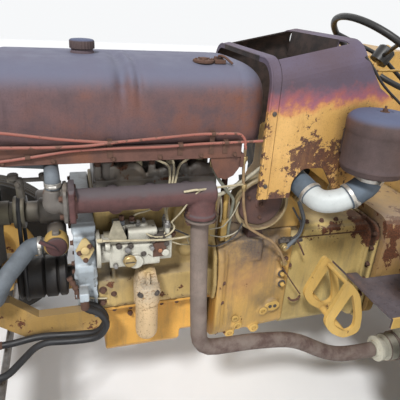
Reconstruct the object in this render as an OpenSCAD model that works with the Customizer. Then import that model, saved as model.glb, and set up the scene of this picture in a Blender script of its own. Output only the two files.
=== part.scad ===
// Vintage three-cylinder utility tractor, with its bonnet missing and its engine open to view.
// Millimetres. +X is forward, +Y is the tractor's left, +Z is up.
// The origin is on the ground, under the middle of the length and the width.

/* [Layout] */
// Distance between the front and the rear axle
wheelbase = 1950; // [1900:10:2050]
// Distance between the centres of the rear tyres
rear_track = 1440; // [1400:10:1600]
// Distance between the centres of the front tyres
front_track = 1300; // [1280:10:1400]
// Distance from the rear axle forward to the joint of engine and clutch housing
axle_to_engine = 1110; // [1100:5:1120]

/* [Rear wheels] */
// Diameter over the lugs of a rear tyre
rear_tyre_d = 1240; // [1200:10:1280]
// Width of a rear tyre
rear_tyre_w = 320; // [300:10:340]
// Bead seat diameter of a rear rim
rear_rim_d = 620; // [600:10:640]
// Lugs on each side of a rear tyre
rear_lugs = 18; // [14:1:20]
// Width of one lug along the tread
rear_lug_w = 38; // [30:1:44]

/* [Front wheels] */
// Diameter over the ribs of a front tyre
front_tyre_d = 720; // [700:10:740]
// Width of a front tyre
front_tyre_w = 180; // [170:5:190]
// Bead seat diameter of a front rim
front_rim_d = 410; // [400:5:420]
// Distance of a kingpin from the middle of the tractor
kingpin_y = 510; // [500:5:515]
// Length of a steering arm, from kingpin to tie rod pin
steer_arm = 160; // [150:5:165]

/* [Engine] */
// Length of the engine block
block_l = 386; // [370:2:430]
// Height of the crankshaft's centre
crank_z = 600; // [590:5:610]
// Height of the water pump's centre
pump_z = 850; // [840:5:860]
// Height of the joint between block and cylinder head
head_z = 925; // [920:1:930]
// Height of the joint between block and sump
sump_z = 577; // [570:1:580]

/* [Tank and cowl] */
// Half width of the fuel tank
tank_half_w = 225; // [215:1:230]
// Height of the tank's underside
tank_low = 1128; // [1120:1:1130]
// Height of the tank's top
tank_top = 1340; // [1330:1:1345]
// Length of the tank
tank_l = 746; // [700:5:750]
// Half width of the cowl
cowl_half_w = 250; // [240:1:255]
// Thickness of the cowl's sheet
cowl_t = 4; // [3:0.5:5]

/* [Steering wheel] */
// Radius of the steering wheel's rim centre
wheel_r = 205; // [195:1:210]
// Lean of the wheel from level, in degrees
wheel_lean = 36; // [30:1:40]

/* [Hidden] */

$fn = 48;
rear_r = rear_tyre_d / 2;
front_r = front_tyre_d / 2;
// The tyres reach as far in front of the origin as behind it
rear_x = -(wheelbase + front_r - rear_r) / 2;
engine_x = rear_x + axle_to_engine;
// Places along X below start at the engine's rear face
axle_fx = wheelbase - axle_to_engine;
axle_x = -axle_to_engine;
rear_y = rear_track / 2;
front_y = front_track / 2;

paint = [0.80, 0.62, 0.24];
rust = [0.40, 0.24, 0.17];
tank_brown = [0.42, 0.30, 0.28];
steel = [0.55, 0.56, 0.58];
alloy = [0.74, 0.76, 0.76];
pipe_cream = [0.78, 0.72, 0.58];
black_rubber = [0.10, 0.10, 0.10];
hose_grey = [0.42, 0.46, 0.47];

// Running clearance of a shaft in its bore, on the diameter
run = 0.1;
// Clearance between faces that turn on each other
face_gap = 0.3;

// Helpers: engine_frame() puts its children in a frame whose X starts at the engine's rear face
module engine_frame() translate([engine_x, 0, 0]) children();
module box(x0, x1, y0, y1, z0, z1) translate([x0, y0, z0]) cube([x1 - x0, y1 - y0, z1 - z0]);
module cyl_x(x0, x1, d, y, z) translate([x0, y, z]) rotate([0, 90, 0]) cylinder(h = x1 - x0, d = d);
module cyl_y(y0, y1, d, x, z) translate([x, y1, z]) rotate([90, 0, 0]) cylinder(h = y1 - y0, d = d);
module cyl_z(z0, z1, d, x, y) translate([x, y, z0]) cylinder(h = z1 - z0, d = d);
// Extrudes an outline of (Y, Z) points along X
module prism_x(x0, x1, outline)
    translate([x0, 0, 0]) rotate([90, 0, 90]) linear_extrude(x1 - x0) polygon(outline);
// Extrudes an outline of (X, Z) points along Y
module prism_y(y0, y1, outline)
    translate([0, y1, 0]) rotate([90, 0, 0]) linear_extrude(y1 - y0) polygon(outline);
// Extrudes an outline of (X, Y) points along Z
module prism_z(z0, z1, outline) translate([0, 0, z0]) linear_extrude(z1 - z0) polygon(outline);
// Rectangle with rounded corners, as an outline
function round_rect(a0, a1, b0, b1, r, n = 5) = [
    for (c = [[a1 - r, b1 - r, 0], [a0 + r, b1 - r, 90], [a0 + r, b0 + r, 180], [a1 - r, b0 + r, 270]])
        for (i = [0:n]) [c[0] + r * cos(c[2] + 90 * i / n), c[1] + r * sin(c[2] + 90 * i / n)]
];
module both_sides() {
    children();
    mirror([0, 1, 0]) children();
}

// Rounds the corner b between a and c by a curve that starts r before the corner
function unit(v) = v / norm(v);
function bend(a, b, c, r, n) = let (
    p = b + unit(a - b) * min(r, norm(a - b) / 2.01),
    q = b + unit(c - b) * min(r, norm(c - b) / 2.01)
) [for (i = [0:n]) let (t = i / n) (1 - t) * (1 - t) * p + 2 * t * (1 - t) * b + t * t * q];
// A closed outline with every corner rounded
function rounded(pts, r, n = 4) = let (m = len(pts))
    [for (i = [0:m - 1]) each bend(pts[(i + m - 1) % m], pts[i], pts[(i + 1) % m], r, n)];
// A tube swept along a route whose corners are rounded: rings are joined to a skin
function smooth_route(pts, r, n = 4) = [
    pts[0],
    for (i = [1:len(pts) - 2]) each bend(pts[i - 1], pts[i], pts[i + 1], r, n),
    pts[len(pts) - 1]
];
function tangent(p, i) = unit(p[min(i + 1, len(p) - 1)] - p[max(i - 1, 0)]);
function side_vector(t) = unit(cross(t, abs(t[2]) < 0.9 ? [0, 0, 1] : [1, 0, 0]));
function carried(prev, t) = unit(prev - (prev * t) * t);
function frames(p, i = 0, acc = []) = i == len(p) ? acc
    : let (u = i == 0 ? side_vector(tangent(p, 0)) : carried(acc[i - 1], tangent(p, i)))
        frames(p, i + 1, concat(acc, [u]));
module tube(pts, d, r = 40, sides = 12, n = 4) {
    p = smooth_route(pts, r, n);
    f = frames(p);
    rings = len(p);
    points = [
        for (i = [0:rings - 1]) let (t = tangent(p, i), u = f[i], v = cross(t, u))
            for (k = [0:sides - 1]) p[i] + d / 2 * (cos(360 * k / sides) * u + sin(360 * k / sides) * v)
    ];
    faces = concat(
        [[for (k = [0:sides - 1]) k]],
        [for (i = [0:rings - 2]) for (k = [0:sides - 1]) let (j = (k + 1) % sides)
            [i * sides + k, (i + 1) * sides + k, (i + 1) * sides + j, i * sides + j]],
        [[for (k = [sides - 1:-1:0]) (rings - 1) * sides + k]]
    );
    polyhedron(points = points, faces = faces, convexity = 6);
}

// Engine
cover_t = 61;
cover_x = block_l + cover_t;
block_half = 165;
crankcase_half = 200;
bell_half = 222;
// Height of the clutch housing's flat top
housing_top = 786;
module engine_block() color(paint) engine_frame() {
    sump_half = crankcase_half - 15;
    difference() {
        union() {
            prism_x(0, block_l, [
                [-sump_half, sump_z], [sump_half, sump_z], [crankcase_half, 600], [crankcase_half, 690],
                [block_half, 706], [block_half, head_z], [-block_half, head_z], [-block_half, 706],
                [-crankcase_half, 690], [-crankcase_half, 600]
            ]);
            prism_x(0, 16, [
                [-212, sump_z], [212, sump_z], [bell_half, 640], [206, 740], [block_half, 790],
                [-block_half, 790], [-206, 740], [-bell_half, 640]
            ]);
        }
        box(40, block_l - 46, block_half - 5, block_half + 5, 728, 900);
        box(40, block_l - 46, -block_half - 5, -block_half + 5, 728, 900);
    }
    // Core plugs, the lifting pad and the ribs of the crankcase
    for (x = [100, 215, 330])
        cyl_y(block_half - 5, block_half + 7, 52, x, 760);
    prism_y(block_half - 5, block_half + 17, round_rect(84, 150, 832, head_z - 4, 18));
    cyl_y(block_half + 17, block_half + 30, 26, 112, 896);
    both_sides()
        for (x = [52, block_l - 52])
            prism_x(x - 6, x + 6, [
                [block_half - 5, 700], [crankcase_half - 2, 684], [crankcase_half - 2, 700],
                [block_half - 5, 800]
            ]);
}

// Injectors along the head: the first and the distance between them
injector_x = 59;
injector_step = 94;
injector_y = 124;
rocker_half = 95;
head_top = head_z + 83;
module cylinder_head() color(steel) engine_frame() {
    box(10, block_l - 10, -150, 162, head_z, head_top);
    prism_x(20, block_l - 24, [
        [-rocker_half, head_top], [rocker_half, head_top], [rocker_half, head_top + 52],
        [rocker_half - 15, head_top + 70], [-rocker_half + 15, head_top + 70], [-rocker_half, head_top + 52]
    ]);
    prism_x(14, block_l - 18, [
        [-rocker_half - 9, head_top], [rocker_half + 9, head_top], [rocker_half + 9, head_top + 8],
        [-rocker_half - 9, head_top + 8]
    ]);
    // Injector seats and the head's bolt bosses between them
    for (i = [0:2]) {
        cyl_z(head_top, head_top + 14, 40, injector_x + i * injector_step, injector_y);
        cyl_z(head_top, head_top + 20, 26, injector_x + (i + 0.5) * injector_step, injector_y + 20);
    }
}

sump_half = 150;
sump_front = block_l - 22;
module sump() color(paint) engine_frame() {
    flange = sump_z - 12;
    box(2, block_l - 4, -185, 185, flange, sump_z);
    prism_x(104, sump_front, [
        [-122, 345], [122, 345], [sump_half, 378], [sump_half, flange], [-sump_half, flange],
        [-sump_half, 378]
    ]);
    prism_x(8, 106, [
        [-122, 388], [122, 388], [sump_half, 418], [sump_half, flange], [-sump_half, flange],
        [-sump_half, 418]
    ]);
    cyl_x(sump_front, sump_front + 14, 30, 60, 390);
}

cover_side = 236;
module timing_cover() color(alloy) engine_frame() {
    prism_x(block_l, cover_x, [
        [-118, 545], [118, 545], [128, 590], [186, 640], [206, 700], [cover_side, 760], [cover_side, 872],
        [206, 905], [-190, 905], [-190, 700], [-128, 650]
    ]);
    prism_x(block_l + 8, cover_x - 8, [
        [120, 600], [196, 640], [216, 700], [244, 760], [244, 780], [120, 780]
    ]);
    // The port block of the steering hoses, and the diamond-shaped cover over the pump's gear
    box(block_l + 26, block_l + 54, 180, 260, 664, 694);
    prism_y(cover_side, cover_side + 8, [
        [block_l + 6, 836], [block_l + 30, 794], [block_l + 55, 836], [block_l + 30, 878]
    ]);
}

pump_y = 222;
pump_axis_z = 822;
pump_rear = block_l - 218;
outlet_x = pump_rear + 12;
module injection_pump() color(alloy) engine_frame() {
    cyl_x(block_l - 12, block_l, 112, pump_y, pump_axis_z);
    cyl_x(block_l - 40, block_l - 12, 84, pump_y, pump_axis_z);
    prism_x(block_l - 182, block_l - 36, round_rect(184, 262, 772, 850, 12));
    prism_x(block_l - 176, block_l - 92, round_rect(176, 244, 840, 884, 12));
    prism_x(pump_rear, block_l - 178, round_rect(186, 256, 780, 862, 16));
    // The governor's lever boxes and the brass plug's boss
    box(block_l - 86, block_l - 52, 172, 226, 850, 892);
    cyl_y(262, 272, 44, block_l - 110, 794);
    cyl_y(256, 266, 24, pump_rear + 20, 812);
    // Outlets of the pump, with their nuts
    for (i = [-1:1])
        cyl_z(862, 890, 16, outlet_x, pump_y + 20 * i);
}

// Injectors, and the pipes from the pump's outlets that pass behind the manifold
module injector_pipes() color(pipe_cream) engine_frame() {
    for (i = [0:2]) {
        x = injector_x + i * injector_step;
        cyl_z(head_top + 14, head_top + 48, 24, x, injector_y);
        cyl_z(head_top + 48, head_top + 66, 15, x, injector_y);
        tube([
            [outlet_x, pump_y + 20 * (i - 1), 890], [outlet_x, pump_y + 20 * (i - 1), 912],
            [outlet_x - 14 + 10 * i, 208, 946], [outlet_x - 32 + 8 * i, 190, 1006],
            [outlet_x - 44 + 14 * i, 176, 1052], [x, injector_y + 8, 1080], [x, injector_y, 1070]
        ], 7, 16, 8);
    }
}

module oil_filter() color([0.62, 0.56, 0.42]) engine_frame() {
    filter_x = 240;
    filter_y = 246;
    prism_y(crankcase_half, filter_y + 12, [
        [filter_x - 34, 644], [filter_x + 34, 644], [filter_x + 34, 690], [filter_x + 22, 744],
        [filter_x - 22, 744], [filter_x - 34, 690]
    ]);
    cyl_z(640, 700, 80, filter_x, filter_y);
    cyl_z(520, 640, 70, filter_x, filter_y);
    translate([filter_x, filter_y, 496]) cylinder(h = 24, d1 = 44, d2 = 70);
    for (x = [-24, 24])
        cyl_z(700, 714, 22, filter_x + x, filter_y + 18);
}

manifold_y = 270;
manifold_z = 1000;
manifold_d = 66;
manifold_front = cover_x - 7;
manifold_flange = 12;
downpipe_x = 91;
module exhaust_manifold() color(rust) engine_frame() {
    cyl_x(62, manifold_front, manifold_d, manifold_y, manifold_z);
    cyl_x(manifold_front, manifold_front + manifold_flange, 100, manifold_y, manifold_z);
    for (i = [0:2])
        cyl_y(162, manifold_y, 46, injector_x + 51 + 110 * i, 975);
    // The outlet, which widens to its flange
    translate([downpipe_x, manifold_y, 942]) cylinder(h = 60, d1 = 84, d2 = 60);
    cyl_z(930, 942, 92, downpipe_x, manifold_y);
}

pipe_d = 54;
muffler_x = -598;
muffler_y = 330;
muffler_z = 340;
module exhaust_pipe() color(rust) engine_frame() {
    cyl_z(918, 930, 92, downpipe_x, manifold_y);
    tube([
        [downpipe_x, manifold_y, 918], [downpipe_x, manifold_y, 890], [84, 285, 640], [76, 300, 452],
        [-120, 300, 448], [-270, 300, 428], [-410, 318, 350], [-480, muffler_y, muffler_z],
        [muffler_x, muffler_y, muffler_z]
    ], pipe_d, 60, 16);
}

module muffler() color([0.80, 0.78, 0.68]) engine_frame() {
    // The front cap has a rolled edge, and the box rests in a hanger under the footplate
    translate([muffler_x, muffler_y, muffler_z]) rotate([0, -90, 0]) rotate_extrude() polygon([
        [0, 0], [31, 0], [31, 8], [47, 14], [47, 24], [37, 30], [37, 44], [50, 50], [50, 380], [46, 386],
        [23, 390], [23, 640], [0, 640]
    ]);
    box(-700, -690, muffler_y - 20, muffler_y + 20, muffler_z + 45, plate_z - 7);
}

belt_x = cover_x + 157;
module water_pump() color(steel) engine_frame() {
    cyl_x(cover_x, cover_x + 14, 130, 0, pump_z);
    cyl_x(cover_x + 14, cover_x + 98, 84, 0, pump_z);
    cyl_x(cover_x + 98, belt_x - 16, 66, 0, pump_z);
    // The inlet elbow, with its capped end
    cyl_y(0, 118, 60, cover_x + 50, pump_z - 62);
    cyl_y(118, 130, 68, cover_x + 50, pump_z - 62);
    cyl_x(cover_x + 50, cover_x + 92, 50, 92, pump_z - 76);
    // The adjusting bracket over the belt
    box(cover_x + 60, cover_x + 170, 84, 96, manifold_z - 12, manifold_z);
    box(cover_x + 60, cover_x + 70, 20, 96, manifold_z - 24, manifold_z);
    box(cover_x + 60, cover_x + 70, 20, 44, pump_z, manifold_z);
    // The outlet elbow on the manifold's front flange
    front = manifold_front + manifold_flange;
    cyl_x(front, front + 12, 100, manifold_y, manifold_z);
    cyl_x(front + 12, front + 34, 54, manifold_y, manifold_z);
    translate([front + 34, manifold_y, manifold_z]) sphere(d = 58);
    cyl_z(manifold_z, manifold_z + 40, 44, front + 34, manifold_y);
}

module fan() color(steel) engine_frame() {
    // Hub and grooved pulley in one turned piece
    translate([belt_x - 16, 0, pump_z]) rotate([0, 90, 0]) rotate_extrude() polygon([
        [0, 0], [50, 0], [52, 4], [52, 10], [40, 16], [52, 22], [52, 28], [50, 32], [34, 34], [34, 44],
        [38, 46], [38, 92], [44, 94], [44, 102], [0, 102]
    ]);
    for (a = [0:60:300])
        translate([belt_x + 80, 0, pump_z]) rotate([a, 0, 0]) translate([0, 0, 20]) rotate([0, 0, 28])
            translate([-2, -36, 0]) cube([4, 72, 168]);
}

crank_pulley_d = 144;
dynamo_y = -145;
dynamo_z = 800;
module belt_drive() color([0.16, 0.16, 0.17]) engine_frame() {
    r = crank_pulley_d / 2;
    translate([cover_x, 0, crank_z]) rotate([0, 90, 0]) rotate_extrude() polygon([
        [0, 0], [30, 0], [30, 26], [r - 6, 28], [r, 34], [r, 52], [r - 10, 58], [r, 64], [r, 96],
        [r - 10, 102],
        [r, 108], [r, 150], [r - 12, 165], [r, 178], [r - 4, 184], [0, 184]
    ]);
    // The dynamo on the right side, held by the timing cover
    translate([cover_x, dynamo_y, dynamo_z]) rotate([0, 90, 0]) rotate_extrude() polygon([
        [0, 0], [50, 0], [56, 6], [56, 112], [50, 118], [16, 118], [16, 148], [40, 150], [30, 165], [40, 180],
        [0, 180]
    ]);
}

// Radiator and front
radiator_x = cover_x + 298;
core_half = 215;
// Lowest and highest place of the radiator's core
core_low = 664;
core_high = 1080;
rail_low = front_r + 170;
rail_top = rail_low + 85;
top_tank = 1126;
top_hose_y = 130;
low_hose_y = 186;
shroud_r = 200;
module radiator() color([0.30, 0.30, 0.30]) engine_frame() {
    box(radiator_x, radiator_x + 56, -core_half, core_half, core_low, core_high);
    box(radiator_x - 8, radiator_x + 60, -core_half, core_half, rail_top, core_low);
    box(radiator_x - 8, radiator_x + 60, -core_half, core_half, core_high, top_tank);
    cyl_x(radiator_x - 48, radiator_x - 8, 44, top_hose_y, top_tank - 26);
    cyl_x(radiator_x - 44, radiator_x - 8, 50, low_hose_y, core_low - 8);
    // The shroud round the fan
    translate([radiator_x, 0, pump_z]) rotate([0, -90, 0]) rotate_extrude() polygon([
        [shroud_r + 14, 0], [shroud_r + 4, 30], [shroud_r, 62], [shroud_r - 3, 62], [shroud_r + 1, 29],
        [shroud_r + 10, 0]
    ]);
}

shell_x = radiator_x + 60;
shell_depth = 100;
shell_half = 245;
shell_top = 1150;
sheet = 5;
module front_shell() color(paint) engine_frame() {
    difference() {
        prism_x(shell_x, shell_x + shell_depth, round_rect(-shell_half, shell_half, rail_top, shell_top, 40));
        prism_x(shell_x - 1, shell_x + 92, round_rect(
            sheet - shell_half, shell_half - sheet, rail_top + sheet, shell_top - sheet, 36
        ));
        box(shell_x, shell_x + shell_depth + 20, -190, 190, rail_top + 60, shell_top - 90);
    }
    // Grille bars, and the middle bar in front of them
    for (y = [-160:32:160])
        box(shell_x + 84, shell_x + 92, y - 4, y + 4, rail_top + 56, shell_top - 86);
    box(shell_x + 92, shell_x + 104, -12, 12, rail_top + 56, shell_top - 86);
}

lamp_y = shell_half + 86;
lamp_z = 950;
module headlamps() color(paint) engine_frame() both_sides() {
    translate([shell_x + 44, lamp_y, lamp_z]) rotate([0, 90, 0]) rotate_extrude() polygon([
        [0, -60], [14, -60], [30, -55], [52, -40], [68, -12], [72, 10], [78, 12], [78, 26], [72, 28],
        [70, 24], [44, 29], [14, 32], [0, 32]
    ]);
    box(shell_x + 30, shell_x + 58, shell_half, lamp_y + 14, lamp_z - 86, lamp_z - 78);
    cyl_z(lamp_z - 84, lamp_z - 60, 16, shell_x + 43, lamp_y);
}

cylinder_x = axle_fx - 74;
cylinder_z = front_r + 102;
port_x = cylinder_x - 44;
ports = [160, 300];
module hoses() color(hose_grey) engine_frame() {
    outlet = manifold_front + manifold_flange + 34;
    // Top and bottom hose of the radiator
    tube([
        [outlet, manifold_y, manifold_z + 40], [outlet, manifold_y, manifold_z + 70],
        [outlet + 6, 165, tray_z - 20], [radiator_x - 112, top_hose_y, tray_z - 20],
        [radiator_x - 84, top_hose_y, top_tank - 26], [radiator_x - 48, top_hose_y, top_tank - 26]
    ], 38, 24);
    tube([
        [cover_x + 92, 92, pump_z - 76], [cover_x + 128, 92, pump_z - 76], [radiator_x - 96, 180, 720],
        [radiator_x - 66, low_hose_y, core_low - 8], [radiator_x - 44, low_hose_y, core_low - 8]
    ], 54, 40, 16);
    // Steering hoses from the valve block at the engine's side to the steering cylinder's ports
    for (i = [0, 1])
        tube([
            [block_l + 40, 246 - 26 * i, 664], [block_l + 40, 246 - 26 * i, 632],
            [block_l - 4, 238 - 24 * i, 604], [block_l - 26, 236 - 24 * i, 555],
            [block_l, 226 - 24 * i, 496], [block_l + 70, 206 - 30 * i, 478],
            [port_x - 150, 190 - 30 * i, 478],
            [port_x - 60, ports[1 - i], cylinder_z], [port_x, ports[1 - i], cylinder_z]
        ], 22, 40, 10);
}

// Fuel tank: a loft of sections whose ends round inwards
tank_x0 = -114;
tank_end_r = 82;
tank_sides = 36;
// Sections from an end: share of the end's radius along X, share of the full section
tank_steps = [[0, 0], [0.04, 0.3], [0.14, 0.55], [0.32, 0.77], [0.6, 0.93], [1, 1]];
// How square the section is above and below its middle, where 1 is an ellipse
tank_square_top = 0.56;
tank_square_low = 0.42;
function tank_ring(x, s) = let (
    half = tank_half_w - tank_end_r * (1 - s),
    top = tank_top - 58 * (1 - s),
    mid = tank_low + 78
) [for (k = [0:tank_sides - 1]) let (a = 360 * k / tank_sides, c = cos(a), n = sin(a)) [
    x,
    half * sign(c) * pow(abs(c), tank_square_top),
    n > 0 ? mid + (top - mid) * pow(n, tank_square_top) : mid - (mid - tank_low) * pow(-n, tank_square_low)
]];
tank_rings = concat(
    [for (s = tank_steps) tank_ring(tank_x0 + tank_end_r * s[0], s[1])],
    [for (i = [5:-1:0]) tank_ring(tank_x0 + tank_l - tank_end_r * tank_steps[i][0], tank_steps[i][1])]
);
module loft(rings) {
    m = len(rings[0]);
    polyhedron(
        points = [for (r = rings) each r],
        faces = concat(
            [[for (k = [0:m - 1]) k]],
            [for (i = [0:len(rings) - 2]) for (k = [0:m - 1]) let (j = (k + 1) % m)
                [i * m + k, (i + 1) * m + k, (i + 1) * m + j, i * m + j]],
            [[for (k = [m - 1:-1:0]) (len(rings) - 1) * m + k]]
        ),
        convexity = 4
    );
}
filler_x = 387;
module fuel_tank() color(tank_brown) engine_frame() {
    loft(tank_rings);
    cyl_z(tank_top - 12, tank_top + 14, 54, filler_x, 0);
    cyl_z(tank_top + 14, tank_top + 36, 70, filler_x, 0);
}

tray_y = tank_half_w + 13;
tray_z = tank_low - 36;
tray_x0 = -30;
tray_front = radiator_x - 8;
leg_y = 96;
module tank_tray() color(rust) engine_frame() {
    both_sides() {
        box(tray_x0, tray_front, tray_y - 34, tray_y, tray_z, tray_z + 4);
        box(tray_x0, tray_front, tray_y - 4, tray_y, tray_z + 4, tray_z + 42);
        // The gusset under the rail's rear end
        prism_y(tray_y - 12, tray_y - 4, [
            [tray_x0, tray_z], [tray_x0, tray_z - 34], [-14, tray_z - 58], [10, tray_z - 70],
            [34, tray_z - 62],
            [52, tray_z - 30], [60, tray_z]
        ]);
        // Rear leg down to the clutch housing
        box(tray_x0 - 10, tray_x0, leg_y, tray_y, tray_z - 32, tray_z + 8);
        box(tray_x0 - 10, tray_x0, leg_y, leg_y + 30, housing_top, tray_z - 32);
    }
    for (x = [40, 290, 525])
        box(x, x + 50, 4 - tray_y, tray_y - 4, tray_z + 4, tray_z + 8);
    // Posts on the rocker cover, and the saddle between tray and tank
    for (x = [100, 300])
        box(x, x + 50, -60, 60, head_top + 70, tray_z + 10);
    box(80, 350, -20, 20, tray_z + 8, tank_low);
}

// Two fuel pipes along the rail; each row is a pipe's points, which stand clear of the rail
line_y = tray_y + 4.3;
line_routes = [
    [
        [radiator_x - 50, tray_z + 20], [420, tray_z + 12], [240, tray_z + 34], [-24, tray_z + 24],
        [-60, tray_z - 34]
    ],
    [
        [radiator_x - 50, tray_z + 34], [300, tray_z + 24], [60, tray_z + 42], [-40, tray_z + 40],
        [-58, tray_z + 8]
    ]
];
// Pipes between the tray, the head, the drum and the housing; each row is a diameter and a pipe's points
brake_fitting = [-240, 690];
steer_fitting = [-236, 748];
pipe_routes = [
    [9, [
        [tray_x0 - 15, 229, 1120], [tray_x0 - 15, 229, 1060], [-52, 227, 1000], [-60, 225, 930],
        [-80, 224, 852],
        [-137, 221, 812], [-180, 219, 786], [-218, 217, 738], [brake_fitting[0], 216, brake_fitting[1]],
        [brake_fitting[0], 196, brake_fitting[1]]
    ]],
    [12, [
        [30, 162, 950], [30, 196, 950], [9, 203, 961], [-70, 203, 1008], [-121, 206, 1050], [-180, 206, 1072],
        [-228, 206, 1072]
    ]],
    [10, [
        [47, 218, tray_z], [47, 218, 1060], [28, 218, 1022], [-8, 218, 974], [-30, 216, 950], [-33, 200, 900],
        [-33, 188, 830], [-33, 188, housing_top]
    ]],
    [14, [
        [-286, 140, 904], [-286, 158, 904], [-318, 164, 830], [-312, 166, 780], [-274, 192, 764],
        [steer_fitting[0], 212, steer_fitting[1]], [steer_fitting[0], 192, steer_fitting[1]]
    ]]
];
module fuel_lines() color([0.66, 0.40, 0.26]) engine_frame() {
    for (i = [0, 1])
        tube([for (p = line_routes[i]) [p[0], line_y + 8.5 * i, p[1]]], 8, 20, 8);
    for (r = pipe_routes)
        tube(r[1], r[0], 20, 8);
}

// Cowl: a hollow sheet shroud whose top rises to the rear and whose rear edge slants
cowl_x1 = -93;
cowl_x0 = -532;
cowl_low = 957;
cowl_top = 1357;
cowl_slope = 0.22;
cowl_round = 70;
seam_x = -124;
function cowl_section(grow) = let (
    h = cowl_half_w + grow,
    top = cowl_top + grow,
    r = cowl_round + grow,
    n = 8
) concat(
    [[-h, cowl_low - 300], [h, cowl_low - 300]],
    [for (i = [0:n]) let (a = 90 * i / n) [h - r + r * cos(a), top - r + r * sin(a)]],
    [for (i = [0:n]) let (a = 90 + 90 * i / n) [-h + r + r * cos(a), top - r + r * sin(a)]]
);
module cowl_skin(grow, x0, x1) multmatrix([
    [1, 0, 0, 0], [0, 1, 0, 0], [-cowl_slope, 0, 1, cowl_slope * cowl_x1], [0, 0, 0, 1]
]) prism_x(x0, x1, cowl_section(grow));
module cowl() color([0.62, 0.42, 0.22]) engine_frame() {
    difference() {
        union() {
            cowl_skin(0, cowl_x0, seam_x);
            // The front band stands a little proud of the sheet, behind a lip
            cowl_skin(1.5, seam_x + 3, cowl_x1);
            cowl_skin(-1.5, seam_x - 1, seam_x + 4);
        }
        cowl_skin(-cowl_t, cowl_x0 - 10, cowl_x1 - 5);
        cowl_skin(-cowl_t - 8, cowl_x1 - 6, cowl_x1 + 10);
        // Below the cowl's lower edge
        box(cowl_x0 - 10, cowl_x1 + 10, -300, 300, 600, cowl_low);
        // The slanting rear edge
        prism_y(-300, 300, [
            [-352, 1500], [-380, 1372], [-440, 1290], [-532, 1232], [-600, 1232], [-600, 1500]
        ]);
        // The arch cut in the lower edge
        prism_y(-300, 300, rounded([
            [-198, 900], [-198, 1010], [-228, 1050], [-298, 1050], [-345, 976], [-600, 976], [-600, 900]
        ], 14));
        // The opening that the dash left
        box(-338, seam_x, -208, 208, 1300, 1500);
    }
    // The dash panel hangs from the sheet behind the opening
    prism_y(-150, 150, [[-344, 1409], [-338, 1409], [-330, 1330], [-336, 1330]]);
}

cleaner_x = -392;
cleaner_y = 350;
cleaner_low = 1072;
cleaner_d = 188;
module air_cleaner() color([0.36, 0.22, 0.17]) engine_frame() {
    r = cleaner_d / 2;
    translate([cleaner_x, cleaner_y, cleaner_low]) rotate_extrude($fn = 72) polygon([
        [0, 0], [r - 12, 0], [r - 4, 6], [r - 2, 18], [r, 22], [r - 1, 120], [r + 2, 124], [r + 2, 150],
        [r - 3, 160], [r - 14, 168], [r - 40, 174], [24, 176], [24, 172], [12, 172], [12, 190], [0, 190]
    ]);
    // The strap that holds the can to the cowl's side
    box(cleaner_x - 50, cleaner_x + 50, cowl_half_w, cleaner_y - 60, cleaner_low + 30, cleaner_low + 100);
}

module intake_elbow() color([0.78, 0.79, 0.76]) engine_frame()
    tube([
        [cleaner_x, cleaner_y, cleaner_low], [cleaner_x, cleaner_y, cleaner_low - 40],
        [cleaner_x + 76, cleaner_y, 984], [-260, 318, 968], [-242, 262, 990], [-242, 130, 1000],
        [-242, tower_neck, 1000]
    ], 68, 56, 20, 6);

drum_x = -133;
drum_z = 915;
drum_d = 184;
drum_y = 204;
module steering_drum() color([0.30, 0.20, 0.16]) engine_frame() {
    r = drum_d / 2;
    translate([drum_x, drum_y, drum_z]) rotate([90, 0, 0]) rotate_extrude($fn = 72) polygon([
        [0, 8], [14, 8], [14, 12], [r - 18, 12], [r - 12, 0], [r - 4, 0], [r, 5], [r, 12], [r - 8, 18],
        [r - 8, 74], [0, 74]
    ]);
    box(drum_x - 27, drum_x + 27, drum_y - 74, drum_y - 20, housing_top, drum_z - r + 20);
}

// Steering column and wheel, drawn upright and then leaned over
wheel_x = -615;
wheel_z = 1350;
shaft_d = 22;
tower_x0 = -320;
tower_x1 = -205;
tower_neck = 62;
module steering_frame() engine_frame()
    translate([wheel_x, 0, wheel_z]) rotate([0, -wheel_lean, 0]) children();
module steering_column() color(steel) {
    engine_frame() {
        // The cast tower on the housing, and the cross bar that carries the cowl
        prism_x(tower_x0, tower_x1, [
            [-135, housing_top], [135, housing_top], [120, 900], [tower_neck, 964], [tower_neck, 1040],
            [-tower_neck, 1040], [-tower_neck, 964], [-120, 900]
        ]);
        cyl_y(100, 140, 26, -286, 904);
        box(-262, -228, cowl_t - cowl_half_w, cowl_half_w - cowl_t, 1064, 1080);
        prism_y(-50, 50, [
            [tower_x0, 1040], [tower_x1, 1040], [tower_x1 - 6, 1110], [-400, 1200], [-450, 1110], [-400, 1060]
        ]);
    }
    steering_frame() {
        translate([0, 0, -330]) cylinder(h = 280, d = 56);
        translate([0, 0, -60]) cylinder(h = 90, d = shaft_d);
        translate([0, 0, 26]) cylinder(h = 14, d = 34, $fn = 6);
        // The throttle's box and lever on the column
        translate([20, 10, -112]) cube([74, 84, 50]);
        translate([70, 90, -95]) rotate([-70, 0, 12]) cylinder(h = 150, d = 10);
    }
}

module steering_wheel() color([0.08, 0.08, 0.08]) steering_frame() {
    rotate_extrude($fn = 96) translate([wheel_r, 0]) circle(d = 22, $fn = 24);
    for (a = [60, 180, 300])
        rotate([0, 90, a]) translate([0, 0, 20]) cylinder(h = wheel_r - 20, d = 14);
    difference() {
        translate([0, 0, -22]) cylinder(h = 47, d = 62);
        translate([0, 0, -30]) cylinder(h = 70, d = shaft_d + run);
    }
}

// Transmission
housing_front = round_rect(-206, 206, 372, housing_top, 80);
housing_rear = round_rect(-162, 162, 362, 762, 60);
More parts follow.
